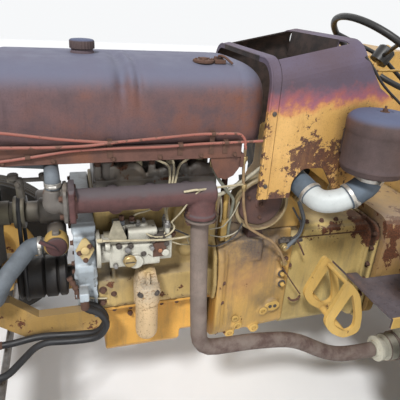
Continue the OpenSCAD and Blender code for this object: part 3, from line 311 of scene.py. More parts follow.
class Finish:
    """The nodes of one surface's material."""

    def __init__(self, name, metallic=0.0, specular=0.4, coat=0.0):
        self.material = bpy.data.materials.new(name)
        self.material.use_nodes = True
        self.tree = self.material.node_tree
        self.shader = self.tree.nodes["Principled BSDF"]
        self.shader.inputs["Metallic"].default_value = metallic
        self.shader.inputs["Specular IOR Level"].default_value = specular
        self.shader.inputs["Coat Weight"].default_value = coat
        self.place = self.tree.nodes.new("ShaderNodeTexCoord").outputs["Object"]
        self.geometry = self.tree.nodes.new("ShaderNodeNewGeometry")

    def link(self, value, socket):
        if hasattr(value, "links"):
            self.tree.links.new(value, socket)
        elif isinstance(value, tuple) and socket.type == 'RGBA':
            socket.default_value = (*value, 1)
        else:
            socket.default_value = value

    def node(self, kind, inputs, **settings):
        """Adds a node with these settings and inputs, and gives its outputs."""
        node = self.tree.nodes.new("ShaderNode" + kind)
        for setting, value in settings.items():
            setattr(node, setting, value)
        for socket, value in inputs.items():
            self.link(value, node.inputs[socket])
        return node.outputs

    def math(self, operation, a, b=0.0, clamp=False):
        return self.node("Math", {0: a, 1: b}, operation=operation, use_clamp=clamp)[0]

    def times(self, a, b):
        return self.math('MULTIPLY', a, b)

    def plus(self, a, b, clamp=False):
        return self.math('ADD', a, b, clamp)

    def minus(self, a, b):
        return self.math('SUBTRACT', a, b)

    def most(self, a, b):
        return self.math('MAXIMUM', a, b)

    def noise(self, scale, detail=4, rough=0.6, stretch=None, shift=0.0):
        place = self.node("Mapping", {"Vector": self.place, "Scale": stretch})[0] if stretch else self.place
        inputs = {"Vector": place, "W": shift, "Scale": scale, "Detail": detail, "Roughness": rough}
        return self.node("TexNoise", inputs, noise_dimensions='4D')["Fac"]

    def cells(self, scale):
        return self.node("TexVoronoi", {"Vector": self.place, "Scale": scale})["Distance"]

    def spread(self, value, low=0.3, high=0.7, to_low=0.0, to_high=1.0):
        """Maps a value between low and high to a smooth share."""
        inputs = {"Value": value, "From Min": low, "From Max": high, "To Min": to_low, "To Max": to_high}
        return self.node("MapRange", inputs, interpolation_type='SMOOTHSTEP')["Result"]

    def mix(self, share, a, b):
        return self.node("Mix", {0: share, 6: a, 7: b}, data_type='RGBA')[2]

    def tones(self, value, a, b, low=0.3, high=0.7):
        """Goes from tone a to tone b as the value goes from low to high."""
        return self.mix(self.spread(value, low, high), a, b)

    def axis(self, which):
        """X, Y or Z of the surface's place, in metres."""
        return self.node("SeparateXYZ", {0: self.place})[which]

    def facing(self, which):
        """X, Y or Z of the direction that the surface faces."""
        return self.node("SeparateXYZ", {0: self.geometry.outputs["Normal"]})[which]

    def near(self, place, reach):
        """1 at the place, falling to 0 at the reach in millimetres."""
        distance = self.node("VectorMath", {0: self.place, 1: metres(place)}, operation='DISTANCE')["Value"]
        return self.spread(distance, reach / 1000, 0.0)

    def more_near(self, share, places, clamp=False):
        """The share, raised around places: each is a place, its reach and its strength."""
        for place, reach, strength in places:
            share = self.plus(share, self.times(self.near(place, reach), strength), clamp)
        return share

    def shade_and_dust_in_corners(self, colour, reach, strength, dust_and_shade_tone=None):
        """The colour darkened in its corners as painted shade, found by ambient occlusion; a given corner
        tone, such as dust, takes the shade's place. Reach is in millimetres.
        """
        return self.mix(self.times(self.crevice(reach), strength), colour, dust_and_shade_tone or CORNER_SHADE_TONE)

    def crevice(self, reach):
        # Ambient occlusion: how far a point is hidden in a corner, the share used for painted shade there
        shade_of = self.node("AmbientOcclusion", {"Distance": reach / 1000}, samples=6)["AO"]
        return self.spread(shade_of, 0.9, 0.25)

    def close(self, colour, roughness, height=None, strength=0.3, depth=0.001):
        self.link(colour, self.shader.inputs["Base Color"])
        self.link(roughness, self.shader.inputs["Roughness"])
        if height is not None:
            inputs = {"Strength": strength, "Distance": depth, "Height": height}
            self.link(self.node("Bump", inputs)[0], self.shader.inputs["Normal"])
        return self.material


def shade(colour, factor):
    return tuple(min(c * factor, 1) for c in colour)


RUST_DARK = (0.075, 0.036, 0.024)
RUST_RED = (0.20, 0.075, 0.035)
DUST = (0.24, 0.20, 0.16)
# The near-black tone of painted shade in corners
CORNER_SHADE_TONE = (0.035, 0.028, 0.022)


def weathered(
    name, paint, amount=0.5, flake=22.0, specks=0.5, corner_shading=0.6, dust=0.35, streak=0.3, wear=0.5,
    dull=(0.5, 0.85), crevice=30, patches=(), stains=(), rust=(RUST_DARK, RUST_RED), metallic=0.0
):
    """Old paint over rust: tone, streaks, flakes, specks, worn edges, dust on top and painted shade in the
    corners.

    amount is the share that has flaked. patches are places where more has: place, reach and strength.
    stains are places of another tone: place, reach, colour and strength.
    """
    f = Finish(name, metallic, 0.35)
    broad = f.noise(5.0, 3, 0.5, shift=1.0)
    middle = f.noise(flake, 8, 0.68, shift=2.0)
    fine = f.noise(flake * 9, 5, 0.7, shift=3.0)
    runs = f.noise(1.0, 6, 0.72, stretch=(26.0, 26.0, 4.0), shift=4.0)
    tone = f.tones(broad, shade(paint, 0.80), shade(paint, 1.14))
    for place, reach, stain, strength in stains:
        share = f.times(f.near(place, reach), f.spread(middle, 0.30, 0.62, 0.35, 1.0))
        tone = f.mix(f.times(share, strength), tone, stain)
    tone = f.mix(f.spread(fine, 0.35, 0.75, 0.0, 0.35), tone, shade(paint, 0.62))
    tone = f.mix(f.times(f.spread(runs, 0.46, 0.78), streak), tone, shade(DUST, 0.62))
    mask = f.more_near(f.plus(middle, f.times(broad, 0.35)), patches)
    edge = 0.92 - 0.30 * amount
    flaked = f.spread(mask, edge, edge + 0.025)
    speckle = f.spread(f.noise(flake * 5, 6, 0.75, shift=6.0), 0.72 - 0.08 * specks, 0.75 - 0.08 * specks)
    worn = f.times(f.spread(f.geometry.outputs["Pointiness"], 0.53, 0.62), wear)
    worn = f.spread(f.plus(worn, f.times(middle, 0.9)), 0.78, 0.88)
    bare = f.most(flaked, f.times(speckle, specks))
    bare = f.most(bare, f.times(worn, wear))
    colour = f.mix(bare, tone, f.tones(fine, rust[0], rust[1], 0.35, 0.65))
    # Painted shade: corners found by ambient occlusion are darkened towards the near-black corner tone, and
    # the same share roughens them
    shaded_share = f.times(f.crevice(crevice), corner_shading)
    shaded_share = f.times(shaded_share, f.spread(middle, 0.25, 0.6, 0.55, 1.0))
    colour = f.mix(shaded_share, colour, CORNER_SHADE_TONE)
    dusty = f.times(f.spread(f.facing(2), 0.45, 0.95), f.spread(broad, 0.25, 0.65, 0.5, 1.0))
    colour = f.mix(f.times(dusty, dust), colour, DUST)
    roughness = f.spread(f.most(bare, shaded_share), 0.0, 1.0, dull[0], dull[1])
    height = f.minus(f.times(fine, 0.5), f.times(bare, 0.6))
    return f.close(colour, roughness, height, 0.55, 0.0006)


def rusted(name, base, warm, top=None, scale=16.0, depth=0.0006, patches=()):
    """Bare rusted sheet or iron: broad tones, fine pitting, a paler top tone on upward faces, painted shade
    in the corners and warm patches.
    """
    f = Finish(name, 0.0, 0.3)
    broad = f.noise(4.0, 4, 0.55, shift=1.0)
    middle = f.noise(scale, 8, 0.66, shift=2.0)
    fine = f.noise(scale * 14, 5, 0.7, shift=3.0)
    runs = f.noise(1.0, 6, 0.6, stretch=(60.0, 60.0, 6.0), shift=4.0)
    colour = f.tones(middle, shade(base, 0.78), shade(base, 1.2))
    warmth = f.more_near(f.times(f.spread(broad, 0.42, 0.68), 0.7), patches, True)
    colour = f.mix(f.times(warmth, f.spread(middle, 0.32, 0.62)), colour, warm)
    colour = f.mix(f.spread(fine, 0.45, 0.8, 0.0, 0.5), colour, shade(base, 0.45))
    colour = f.mix(f.spread(runs, 0.52, 0.75, 0.0, 0.35), colour, shade(base, 0.55))
    # The top tone on upward faces is, for the tank and the air cleaner, a painted bluish sky reflection
    if top:
        colour = f.mix(f.spread(f.facing(2), 0.15, 0.85, 0.0, 0.85), colour, top)
    # Painted shade in the corners
    colour = f.shade_and_dust_in_corners(colour, 25, 0.5)
    roughness = f.spread(middle, to_low=0.62, to_high=0.92)
    return f.close(colour, roughness, f.plus(fine, f.times(middle, 0.6)), 0.5, depth)


# Places on the cowl's left side where its rust blotches are larger: place, reach and strength
COWL_BLOTCHES = (
    ((-245, 250, 1085), 110, 0.24), ((-315, 250, 1040), 140, 0.26), ((-180, 250, 1060), 60, 0.10),
    ((-212, 250, 1080), 55, 0.16), ((-230, 250, 1130), 60, 0.12), ((-350, 250, 1110), 70, 0.16),
    ((-100, 250, 1100), 22, 0.18), ((-100, 250, 1010), 24, 0.20), ((-150, 250, 965), 40, 0.22),
    ((-100, 250, 1180), 24, 0.16), ((-190, 250, 962), 30, 0.2),
)


def cowl_finish():
    """Burnt paint: purple grey on top, a pink and orange band, then yellow with rust blotches."""
    f = Finish("cowl_burnt_paint", 0.0, 0.35)
    middle = f.noise(24.0, 8, 0.66, shift=2.0)
    broad = f.noise(6.0, 4, 0.5, shift=5.0)
    fine = f.noise(210.0, 4, 0.7, shift=3.0)
    height = f.axis(2)
    # The burnt edge runs lower to the front
    level = f.plus(f.minus(height, 0.038), f.times(f.axis(0), 0.10))
    level = f.plus(level, f.times(f.minus(middle, 0.5), 0.11))
    level = f.plus(level, f.times(f.minus(broad, 0.5), 0.07))
    yellow = f.tones(broad, (0.60, 0.35, 0.105), (0.76, 0.46, 0.165))
    pink = f.tones(middle, (0.33, 0.105, 0.105), (0.34, 0.12, 0.155), 0.35, 0.65)
    purple = f.tones(broad, (0.105, 0.075, 0.096), (0.125, 0.105, 0.155))
    colour = f.tones(level, yellow, (0.62, 0.27, 0.10), 1.176, 1.206)
    colour = f.tones(level, colour, pink, 1.192, 1.222)
    colour = f.tones(level, colour, purple, 1.212, 1.262)
    below = f.spread(level, 1.22, 1.17)
    blotch = f.more_near(f.times(f.noise(58.0, 8, 0.74, shift=9.0), 1.9), COWL_BLOTCHES[:1])
    front_edge = f.spread(f.axis(0), 0.150, 0.172, 0.0, 0.15)
    low_edge = f.spread(height, 0.995, 0.962, 0.0, 0.13)
    blotch = f.more_near(f.plus(blotch, f.most(front_edge, low_edge)), COWL_BLOTCHES[1:])
    specks = f.spread(f.noise(110.0, 5, 0.75, shift=7.0), 0.635, 0.66)
    bare = f.most(f.spread(blotch, 1.13, 1.15), f.times(specks, 0.8))
    rust = f.tones(fine, (0.075, 0.04, 0.035), (0.15, 0.07, 0.045), 0.35, 0.65)
    colour = f.mix(f.times(bare, below), colour, rust)
    runs = f.noise(1.0, 6, 0.72, stretch=(30.0, 30.0, 5.0), shift=8.0)
    runs = f.times(f.spread(runs, 0.48, 0.74), below)
    colour = f.mix(f.times(runs, 0.55), colour, (0.40, 0.20, 0.075))
    # Burnt orange stains run down from the blotches
    stain = f.times(f.near((-300, 250, 1010), 150), f.spread(middle, 0.4, 0.6))
    colour = f.mix(f.times(stain, 0.45), colour, (0.36, 0.16, 0.05))
    colour = f.mix(f.spread(fine, 0.45, 0.8, 0.0, 0.30), colour, shade(RUST_DARK, 1.2))
    # Painted shade in the corners
    colour = f.shade_and_dust_in_corners(colour, 40, 0.55)
    # The inner side of the sheet and the dash panel are painted near-black as shade inside the cowl
    across_face = f.times(f.axis(1), f.facing(1))
    inside = f.most(f.spread(across_face, -0.01, -0.05), f.spread(f.facing(2), -0.2, -0.5))
    panel = f.times(f.spread(f.math('ABSOLUTE', f.axis(1)), 0.152, 0.150), f.spread(height, 1.318, 1.322))
    panel = f.times(panel, f.spread(f.math('ABSOLUTE', f.facing(0)), 0.5, 0.8))
    inner_shade = f.tones(middle, (0.022, 0.018, 0.017), (0.060, 0.040, 0.034), 0.35, 0.65)
    colour = f.mix(f.most(inside, panel), colour, inner_shade)
    bump = f.minus(f.times(fine, 0.5), f.times(bare, 0.7))
    return f.close(colour, f.spread(level, 1.17, 1.25, 0.42, 0.72), bump, 0.5, 0.0006)


def plain(name, colour, roughness=0.5, metallic=0.0, scale=60.0, depth=0.0003, vary=0.25):
    """A small fitting's surface, with uneven colour and gloss."""
    f = Finish(name, metallic, 0.4)
    middle = f.noise(scale, 6, 0.65, shift=1.0)
    fine = f.noise(scale * 6, 4, 0.7, shift=2.0)
    tone = f.tones(middle, shade(colour, 1 - vary), shade(colour, 1 + vary * 0.6))
    tone = f.mix(f.spread(fine, 0.55, 0.8, 0.0, 0.5), tone, shade(colour, 0.45))
    # Painted shade in the corners
    tone = f.shade_and_dust_in_corners(tone, 12, 0.5)
    gloss = f.spread(middle, to_low=roughness * 0.85, to_high=min(roughness * 1.2, 1.0))
    return f.close(tone, gloss, fine, 0.4, depth)


def tyre_finish():
    """Old tyre rubber: grey bloom, dust in the tread and fine cracks."""
    f = Finish("old_tyre_rubber", 0.0, 0.3)
    broad = f.noise(7.0, 4, 0.5)
    cracks = f.cells(170.0)
    colour = f.tones(broad, (0.022, 0.021, 0.020), (0.050, 0.047, 0.043))
    colour = f.shade_and_dust_in_corners(colour, 35, 0.55, (0.15, 0.12, 0.09))
    colour = f.mix(f.spread(cracks, 0.0, 0.18, 0.5, 0.0), colour, (0.012, 0.012, 0.012))
    return f.close(colour, f.spread(broad, to_low=0.68, to_high=0.9), f.plus(cracks, broad), 0.35, 0.0008)


def vinyl_finish():
    """Cracked black seat vinyl with a leather grain."""
    f = Finish("seat_vinyl", 0.0, 0.45)
    grain = f.cells(620.0)
    broad = f.noise(9.0, 4, 0.6)
    colour = f.tones(broad, (0.018, 0.016, 0.015), (0.060, 0.052, 0.046), 0.35, 0.7)
    colour = f.shade_and_dust_in_corners(colour, 20, 0.4, (0.10, 0.08, 0.06))
    return f.close(colour, f.spread(broad, to_low=0.38, to_high=0.62), grain, 0.45, 0.0004)


def glass_finish():
    """Headlamp glass with vertical flutes."""
    f = Finish("lamp_glass", 0.0, 0.6, 0.4)
    wave = f.node("TexWave", {"Vector": f.place, "Scale": 38.0}, bands_direction='Y')["Fac"]
    haze = f.noise(30.0, 5, 0.6)
    colour = f.tones(haze, (0.55, 0.58, 0.58), (0.74, 0.77, 0.77))
    f.shader.inputs["Transmission Weight"].default_value = 0.35
    return f.close(colour, f.spread(haze, 0.35, 0.75, 0.12, 0.45), wave, 0.5, 0.001)


YELLOW = (0.60, 0.355, 0.095)
engine_yellow = weathered(
    "engine_yellow", (0.62, 0.44, 0.17), 0.42, corner_shading=0.55, streak=0.6, dust=0.5, crevice=35,
    patches=[((330, 200, 690), 50, 0.10)],
    stains=[
        # The broad brown stain round (200, 190, 770) is the block's tone in shadow, painted as shade
        ((200, 190, 770), 190, (0.25, 0.18, 0.095), 0.9), ((350, 190, 720), 110, (0.115, 0.11, 0.10), 1.0),
        ((60, 165, 800), 90, (0.17, 0.13, 0.08), 0.4),
    ]
)
sump_yellow = weathered(
    "sump_yellow", (0.82, 0.435, 0.09), 0.24, specks=0.9, corner_shading=0.35, streak=0.45, dust=0.3, wear=0.7
)
bell_yellow = weathered(
    "housing_yellow", (0.70, 0.43, 0.125), 0.34, flake=17.0, specks=0.8, corner_shading=0.7, streak=0.7, wear=0.9,
    patches=[((-40, 200, 520), 40, 0.14), ((-24, 205, 700), 40, 0.12), ((-60, 190, 400), 50, 0.12)],
    stains=[
        ((-90, 200, 610), 150, (0.45, 0.23, 0.09), 0.7), ((-215, 180, 520), 150, (0.22, 0.16, 0.09), 0.9),
        ((-140, 190, 700), 200, (0.30, 0.16, 0.12), 0.75), ((-90, 200, 800), 190, (0.085, 0.072, 0.075), 1.0),
        ((-150, 190, 790), 170, (0.070, 0.060, 0.062), 1.0),
        ((-210, 190, 770), 130, (0.085, 0.072, 0.075), 1.0),
    ]
)
gearbox_yellow = weathered(
    "gearbox_yellow", (0.60, 0.45, 0.175), 0.34, flake=15.0, specks=0.8, corner_shading=0.7, streak=0.6, dust=0.4,
    wear=0.9,
    patches=[
        ((-420, 140, 770), 60, 0.14), ((-560, 140, 778), 70, 0.20), ((-610, 150, 700), 60, 0.16),
        ((-640, 165, 600), 60, 0.16), ((-600, 100, 790), 120, 0.2), ((-470, 150, 780), 60, 0.16),
        ((-620, 160, 740), 90, 0.2),
    ],
    stains=[((-330, 150, 420), 110, (0.20, 0.13, 0.05), 0.7), ((-560, 0, 790), 220, (0.30, 0.22, 0.15), 0.5)]
)
panel_yellow = weathered("panel_yellow", YELLOW, 0.35, flake=12.0, dust=0.4, streak=0.4, wear=0.0)
plate_yellow = weathered("plate_yellow", (0.62, 0.47, 0.22), 0.12, flake=40.0, corner_shading=0.3, wear=0.0, dust=0.1)
strip_yellow = weathered(
    "worn_strip_yellow", (0.68, 0.44, 0.13), 0.34, flake=55.0, specks=1.0, corner_shading=0.5, wear=0.0, dust=0.1
)
axle_yellow = weathered(
    "axle_yellow", (0.48, 0.30, 0.10), 0.5, specks=0.8, corner_shading=0.7, dust=0.5, streak=0.6, wear=0.0,
    patches=[((-690, 190, 760), 110, 0.18), ((-690, 190, 640), 80, 0.14)],
    stains=[((-700, 200, 760), 260, (0.24, 0.17, 0.17), 0.9)]
)
rim_yellow = weathered("rim_yellow", (0.58, 0.36, 0.10), 0.40, flake=16.0, dust=0.3, wear=0.0)
# The tank's bluish top tone is a painted sky reflection
tank_rust = rusted(
    "tank_rust", (0.132, 0.086, 0.092), (0.195, 0.080, 0.052), (0.150, 0.160, 0.225), 15.0,
    patches=[((60, 225, 1200), 190, 0.75), ((-60, 200, 1230), 120, 0.7), ((200, 220, 1170), 140, 0.35)]
)
rail_rust = rusted("rail_rust", (0.145, 0.073, 0.057), (0.225, 0.092, 0.048), (0.155, 0.10, 0.092), 26.0)
manifold_rust = rusted(
    "manifold_rust", (0.110, 0.056, 0.054), (0.155, 0.072, 0.066), (0.105, 0.092, 0.098), 34.0, 0.0012
)
downpipe_rust = rusted(
    "downpipe_rust", (0.250, 0.198, 0.168), (0.098, 0.062, 0.053), None, 18.0, 0.0005, [
        ((79, 300, 620), 40, 0.9), ((60, 300, 440), 140, 1.0), ((-120, 310, 400), 300, 1.3),
        ((-380, 320, 350), 330, 1.3),
    ]
)
muffler_cream = weathered("muffler_cream", (0.50, 0.48, 0.39), 0.3, flake=20.0, corner_shading=0.4, dust=0.3, wear=0.0)
cover_alloy = weathered(
    "cover_alloy", (0.49, 0.55, 0.59), 0.27, flake=26.0, specks=0.4, corner_shading=0.7, dust=0.4, streak=0.7,
    wear=0.2, rust=((0.10, 0.10, 0.10), (0.22, 0.20, 0.17)), crevice=45, metallic=0.15
)
pump_alloy = weathered(
    "pump_alloy", (0.62, 0.60, 0.51), 0.36, flake=40.0, specks=0.6, corner_shading=0.95, dust=0.2, streak=0.5,
    wear=0.2, rust=((0.07, 0.062, 0.055), (0.22, 0.18, 0.13)), crevice=45, metallic=0.2,
    patches=[((200, 262, 850), 50, 0.14), ((335, 262, 880), 45, 0.12), ((300, 262, 800), 35, 0.10)]
)
greasy_iron = weathered(
    "greasy_iron", (0.165, 0.150, 0.132), 0.52, flake=28.0, corner_shading=0.8, streak=0.5, dull=(0.38, 0.8),
    stains=[((270, 150, 1010), 90, (0.19, 0.14, 0.09), 0.8), ((60, 150, 1010), 60, (0.16, 0.11, 0.08), 0.7)]
)
filter_paint = weathered(
    "filter_paint", (0.70, 0.50, 0.28), 0.55, flake=150.0, specks=0.6, corner_shading=0.4, wear=0.0, dust=0.2,
    rust=((0.24, 0.15, 0.08), (0.42, 0.26, 0.12)),
    stains=[((240, 258, 695), 85, (0.30, 0.30, 0.27), 1.0), ((240, 250, 752), 36, (0.62, 0.42, 0.14), 1.0)]
)
front_iron = weathered(
    "front_iron", (0.165, 0.148, 0.132), 0.42, flake=24.0, corner_shading=0.8, dust=0.5, wear=0.4, crevice=35,
    stains=[((640, 60, 900), 150, (0.24, 0.21, 0.12), 0.9), ((497, 100, 788), 70, (0.22, 0.20, 0.13), 0.8)]
)
cream_pipe = plain("cream_pipe", (0.52, 0.45, 0.30), 0.55)
red_pipe = weathered(
    "red_pipe", (0.36, 0.125, 0.095), 0.62, flake=36.0, specks=0.7, corner_shading=0.4, dust=0.3, wear=0.0,
    rust=((0.12, 0.06, 0.045), (0.22, 0.105, 0.075))
)
tan_pipe = plain("tan_pipe", (0.32, 0.21, 0.11), 0.6)
pale_pipe = plain("pale_pipe", (0.42, 0.38, 0.28))
grey_green_pipe = plain("grey_green_pipe", (0.22, 0.22, 0.17), 0.55)
grey_blue_hose = plain("grey_blue_hose", (0.15, 0.165, 0.18), 0.6)
dark_wire = plain("dark_wire", (0.06, 0.055, 0.055))
clamp_steel = plain("clamp_steel", (0.52, 0.50, 0.46), 0.38, 0.7)
dark_nut = plain("dark_nut", (0.10, 0.085, 0.075), 0.6, 0.3)
rusty_nut = plain("rusty_nut", (0.125, 0.066, 0.046), 0.85, depth=0.0006)
brass = plain("brass", (0.46, 0.34, 0.16), 0.4, 0.6)
copper = plain("copper", (0.55, 0.26, 0.15), 0.4, 0.7)
hose_rubber = plain("grey_hose_rubber", (0.15, 0.17, 0.19), 0.62, scale=30.0, vary=0.2)
black_hose = plain("black_hose_rubber", (0.028, 0.028, 0.03), scale=30.0)
black_iron = weathered("black_iron", (0.035, 0.034, 0.036), 0.35, corner_shading=0.5, dust=0.4, wear=0.3)
pulley_black = weathered("pulley_black", (0.030, 0.028, 0.028), 0.30, corner_shading=0.5, dust=0.2, wear=0.3)
white_plastic = plain("white_elbow", (0.54, 0.57, 0.56), 0.42, scale=14.0, vary=0.12)
cuff_rubber = plain("cuff_rubber", (0.105, 0.135, 0.170), 0.62, scale=22.0)
# The cleaner's bluish top tone is a painted sky reflection
cleaner_rust = rusted(
    "cleaner_rust", (0.096, 0.067, 0.064), (0.155, 0.070, 0.043), (0.105, 0.125, 0.205), 20.0
)
drum_rust = rusted("drum_rust", (0.10, 0.062, 0.056), (0.16, 0.07, 0.045), scale=22.0)
drum_paint = weathered("drum_paint", (0.40, 0.31, 0.17), 0.45, dust=0.3)
plate_paint = rusted("footplate_rust", (0.125, 0.105, 0.115), (0.22, 0.11, 0.055), scale=24.0)
wheel_black = plain("wheel_black", (0.022, 0.021, 0.020), 0.42, scale=25.0)
chrome = plain("rod_chrome", (0.72, 0.73, 0.75), 0.18, 1.0, vary=0.08)
bare_steel = plain("bare_steel", (0.30, 0.29, 0.28), 0.45, 0.6)
radiator_black = weathered("radiator_black", (0.05, 0.048, 0.045), 0.35, corner_shading=0.5, dust=0.5)
fin_metal = plain("fin_metal", (0.10, 0.095, 0.085), 0.6, 0.3)
cowl_paint = cowl_finish()
tyre_rubber = tyre_finish()
seat_vinyl = vinyl_finish()
lamp_glass = glass_finish()

NODE_FINISH = (
    (engine_yellow, "engine_block"), (greasy_iron, "cylinder_head"), (sump_yellow, "sump"),
    (cover_alloy, "timing_cover"), (pump_alloy, "injection_pump"), (cream_pipe, "injector_pipes"),
    (filter_paint, "oil_filter"), (manifold_rust, "exhaust_manifold"), (downpipe_rust, "exhaust_pipe"),
    (muffler_cream, "muffler"), (front_iron, "water_pump fan"), (pulley_black, "belt_drive"),
    (radiator_black, "radiator"), (panel_yellow, "front_shell headlamps fenders"), (hose_rubber, "hoses"),
    (tank_rust, "fuel_tank"), (rail_rust, "tank_tray drawbar"), (tan_pipe, "fuel_lines"),
    (cowl_paint, "cowl"), (cleaner_rust, "air_cleaner"), (white_plastic, "intake_elbow"),
    (drum_rust, "steering_drum"), (bell_yellow, "steering_column clutch_housing"),
    (wheel_black, "steering_wheel"), (gearbox_yellow, "gearbox"), (plate_paint, "footplates"),
    (strip_yellow, "pedal_brackets"), (seat_vinyl, "seat"), (bare_steel, "tie_rod"),
    (axle_yellow, "axle_housing front_bolster front_axle knuckle_left knuckle_right"),
    (black_iron, "steering_cylinder"), (chrome, "steering_rod"),
    (rim_yellow, "front_rim_left front_rim_right rear_rim_left rear_rim_right"),
    (tyre_rubber, "front_tyre_left front_tyre_right rear_tyre_left rear_tyre_right"),
)


def paint_nodes():
    for finish, names in NODE_FINISH:
        for name in names.split():
            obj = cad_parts[name]
            if not obj.material_slots:
                obj.data.materials.append(finish)
            for place in obj.material_slots:
                place.material = finish


# Fuel tank

TANK_REAR = -114
TANK_LENGTH = 746
TANK_HALF = 225
TANK_LOW = 1101
TANK_MIDDLE = 1206
TANK_TOP = 1340
TANK_END = 82
TANK_FRONT_END = 30
TANK_END_DROP = 58
TANK_SIDES = 144
TANK_STEPS = 120
FILLER_X = 387
# X and Y of the sender's round plate on the tank's top
SENDER = (62, 118)
# Creases in the tank's left side: where along it, how wide and how deep
CREASES = ((300, 17, 17), (256, 9, 9), (277, 8, -4.0))
SEAM_DEPTH = 1.6


def tank_point(x, share, end, angle):
    """A point of the tank's section: squarish above and below its middle."""
    half = TANK_HALF - end * (1 - share)
    top = TANK_TOP - TANK_END_DROP * end / TANK_END * (1 - share)
    c = math.cos(angle)
    s = math.sin(angle)
    y = half * math.copysign(abs(c) ** 0.56, c)
    if s > 0:
        z = TANK_MIDDLE + (top - TANK_MIDDLE) * s ** 0.56
    else:
        z = TANK_MIDDLE - (TANK_MIDDLE - TANK_LOW) * (-s) ** 0.34
    return Vector((x, y, z))


def dented(p):
    """The crease in the tank's left side, the seam at its rear end, and slight waves all over."""
    inward = Vector((0, -p.y, 1240 - p.z)).normalized()
    depth = 0.0
    if p.y > -120:
        fade = min(max((p.z - 1210) / 70, 0), 1) * min((p.y + 120) / 200, 1)
        for x, width, crease in CREASES:
            depth += crease * math.exp(-((p.x - x) / width) ** 2) * fade
    depth += SEAM_DEPTH * math.exp(-((p.x + 26) / 4) ** 2)
    depth += 1.6 * (0.5 + 0.5 * noise.noise(p * 0.006))
    return p + inward * depth


def build_tank():
    turns = [math.pi / 2 * i / 12 for i in range(13)]
    rear = [(TANK_END * (1 - math.cos(turn)), math.sin(turn), TANK_END) for turn in turns]
    front = [(TANK_LENGTH - TANK_FRONT_END * (1 - math.cos(t)), math.sin(t), TANK_FRONT_END) for t in turns]
    straight = TANK_LENGTH - TANK_END - TANK_FRONT_END
    middle = [(TANK_END + straight * i / TANK_STEPS, 1.0, TANK_END) for i in range(1, TANK_STEPS)]
    rings = []
    for x, share, end in rear + middle + front[::-1]:
        rings.append([dented(tank_point(TANK_REAR + x, share, end, a)) for a in round_the(TANK_SIDES)])
    Shape().loft(rings).make("tank_shell", tank_rust, "fuel_tank")
    filler = (FILLER_X, 0, TANK_TOP)
    Shape().turned([(-6, 33), (2, 33), (6, 30), (16, 29)], filler, UP, 48).make("filler_neck", tank_rust)
    profile = [(10, 30), (11, 35), (17, 35), (30, 35), (33, 33.5), (35, 30), (36, 22), (35, 12), (35.4, 2)]
    cap = Shape().turned(profile, filler, UP, 144, ribs=24, rib_depth=1.6)
    cap.make("filler_cap", cleaner_rust, slot="tank_brown")
    fittings = Shape()
    x, y = SENDER
    fittings.turned([(-3, 30), (3, 30), (4.5, 28), (4.5, 12), (9, 11), (10, 9)], (x, y, 1338), UP, 40)
    for a in round_the(5):
        fittings.bolt((x + 22 * math.cos(a), y + 22 * math.sin(a), 1343), UP, 7, washer=False)
    fittings.blocks(((2, 96, 1334), (34, 140, 1344), 2)).bolts(UP, (9, 118, 1345, 8), (27, 118, 1345, 8))
    fittings.wires((3.5, 14, (18, 118, 1342), (18, 122, 1353), (6, 134, 1352), (-14, 150, 1336)))
    fittings.make("tank_fittings", rusty_nut)


# Tank tray, rails and pipes

TRAY_Y = 238
TRAY_Z = 1092
LINE_Y = TRAY_Y + 4.3
# Each red pipe's distance outside the line, then X and Z of its points
RED_ROUTES = (
    (5, (700, 1186), (595, 1180), (460, 1160), (339, 1148), (235, 1155), (99, 1165), (-16, 1164), (-34, 1148),
     (-38, 1118)),
    (1, (700, 1100), (605, 1106), (523, 1116), (438, 1128), (369, 1131), (194, 1131), (96, 1136),
     (-90, 1139)),
    (8, (700, 1146), (599, 1144), (497, 1141), (400, 1142), (350, 1147), (320, 1150)),
)
LINES = (
    ("brake_pipe", tan_pipe, 4.5, (-45, 229, 1120), (-45, 229, 1060), (-52, 227, 1000), (-60, 225, 930),
     (-80, 224, 852), (-137, 221, 812), (-180, 219, 786), (-218, 217, 738), (-240, 216, 690),
     (-240, 196, 690)),
    ("head_pipe", pale_pipe, 6, (30, 162, 950), (30, 196, 950), (9, 203, 961), (-70, 203, 1008),
     (-121, 206, 1050), (-180, 206, 1072), (-228, 206, 1072)),
    ("drop_pipe", grey_green_pipe, 5, (47, 218, 1092), (47, 218, 1060), (28, 218, 1022), (-8, 218, 974),
     (-30, 216, 950), (-33, 200, 900), (-33, 188, 830), (-33, 188, 786)),
    ("steering_pipe", grey_blue_hose, 7, (-286, 140, 904), (-286, 158, 904), (-318, 164, 830),
     (-312, 166, 780), (-274, 192, 764), (-236, 212, 748), (-236, 192, 748)),
)


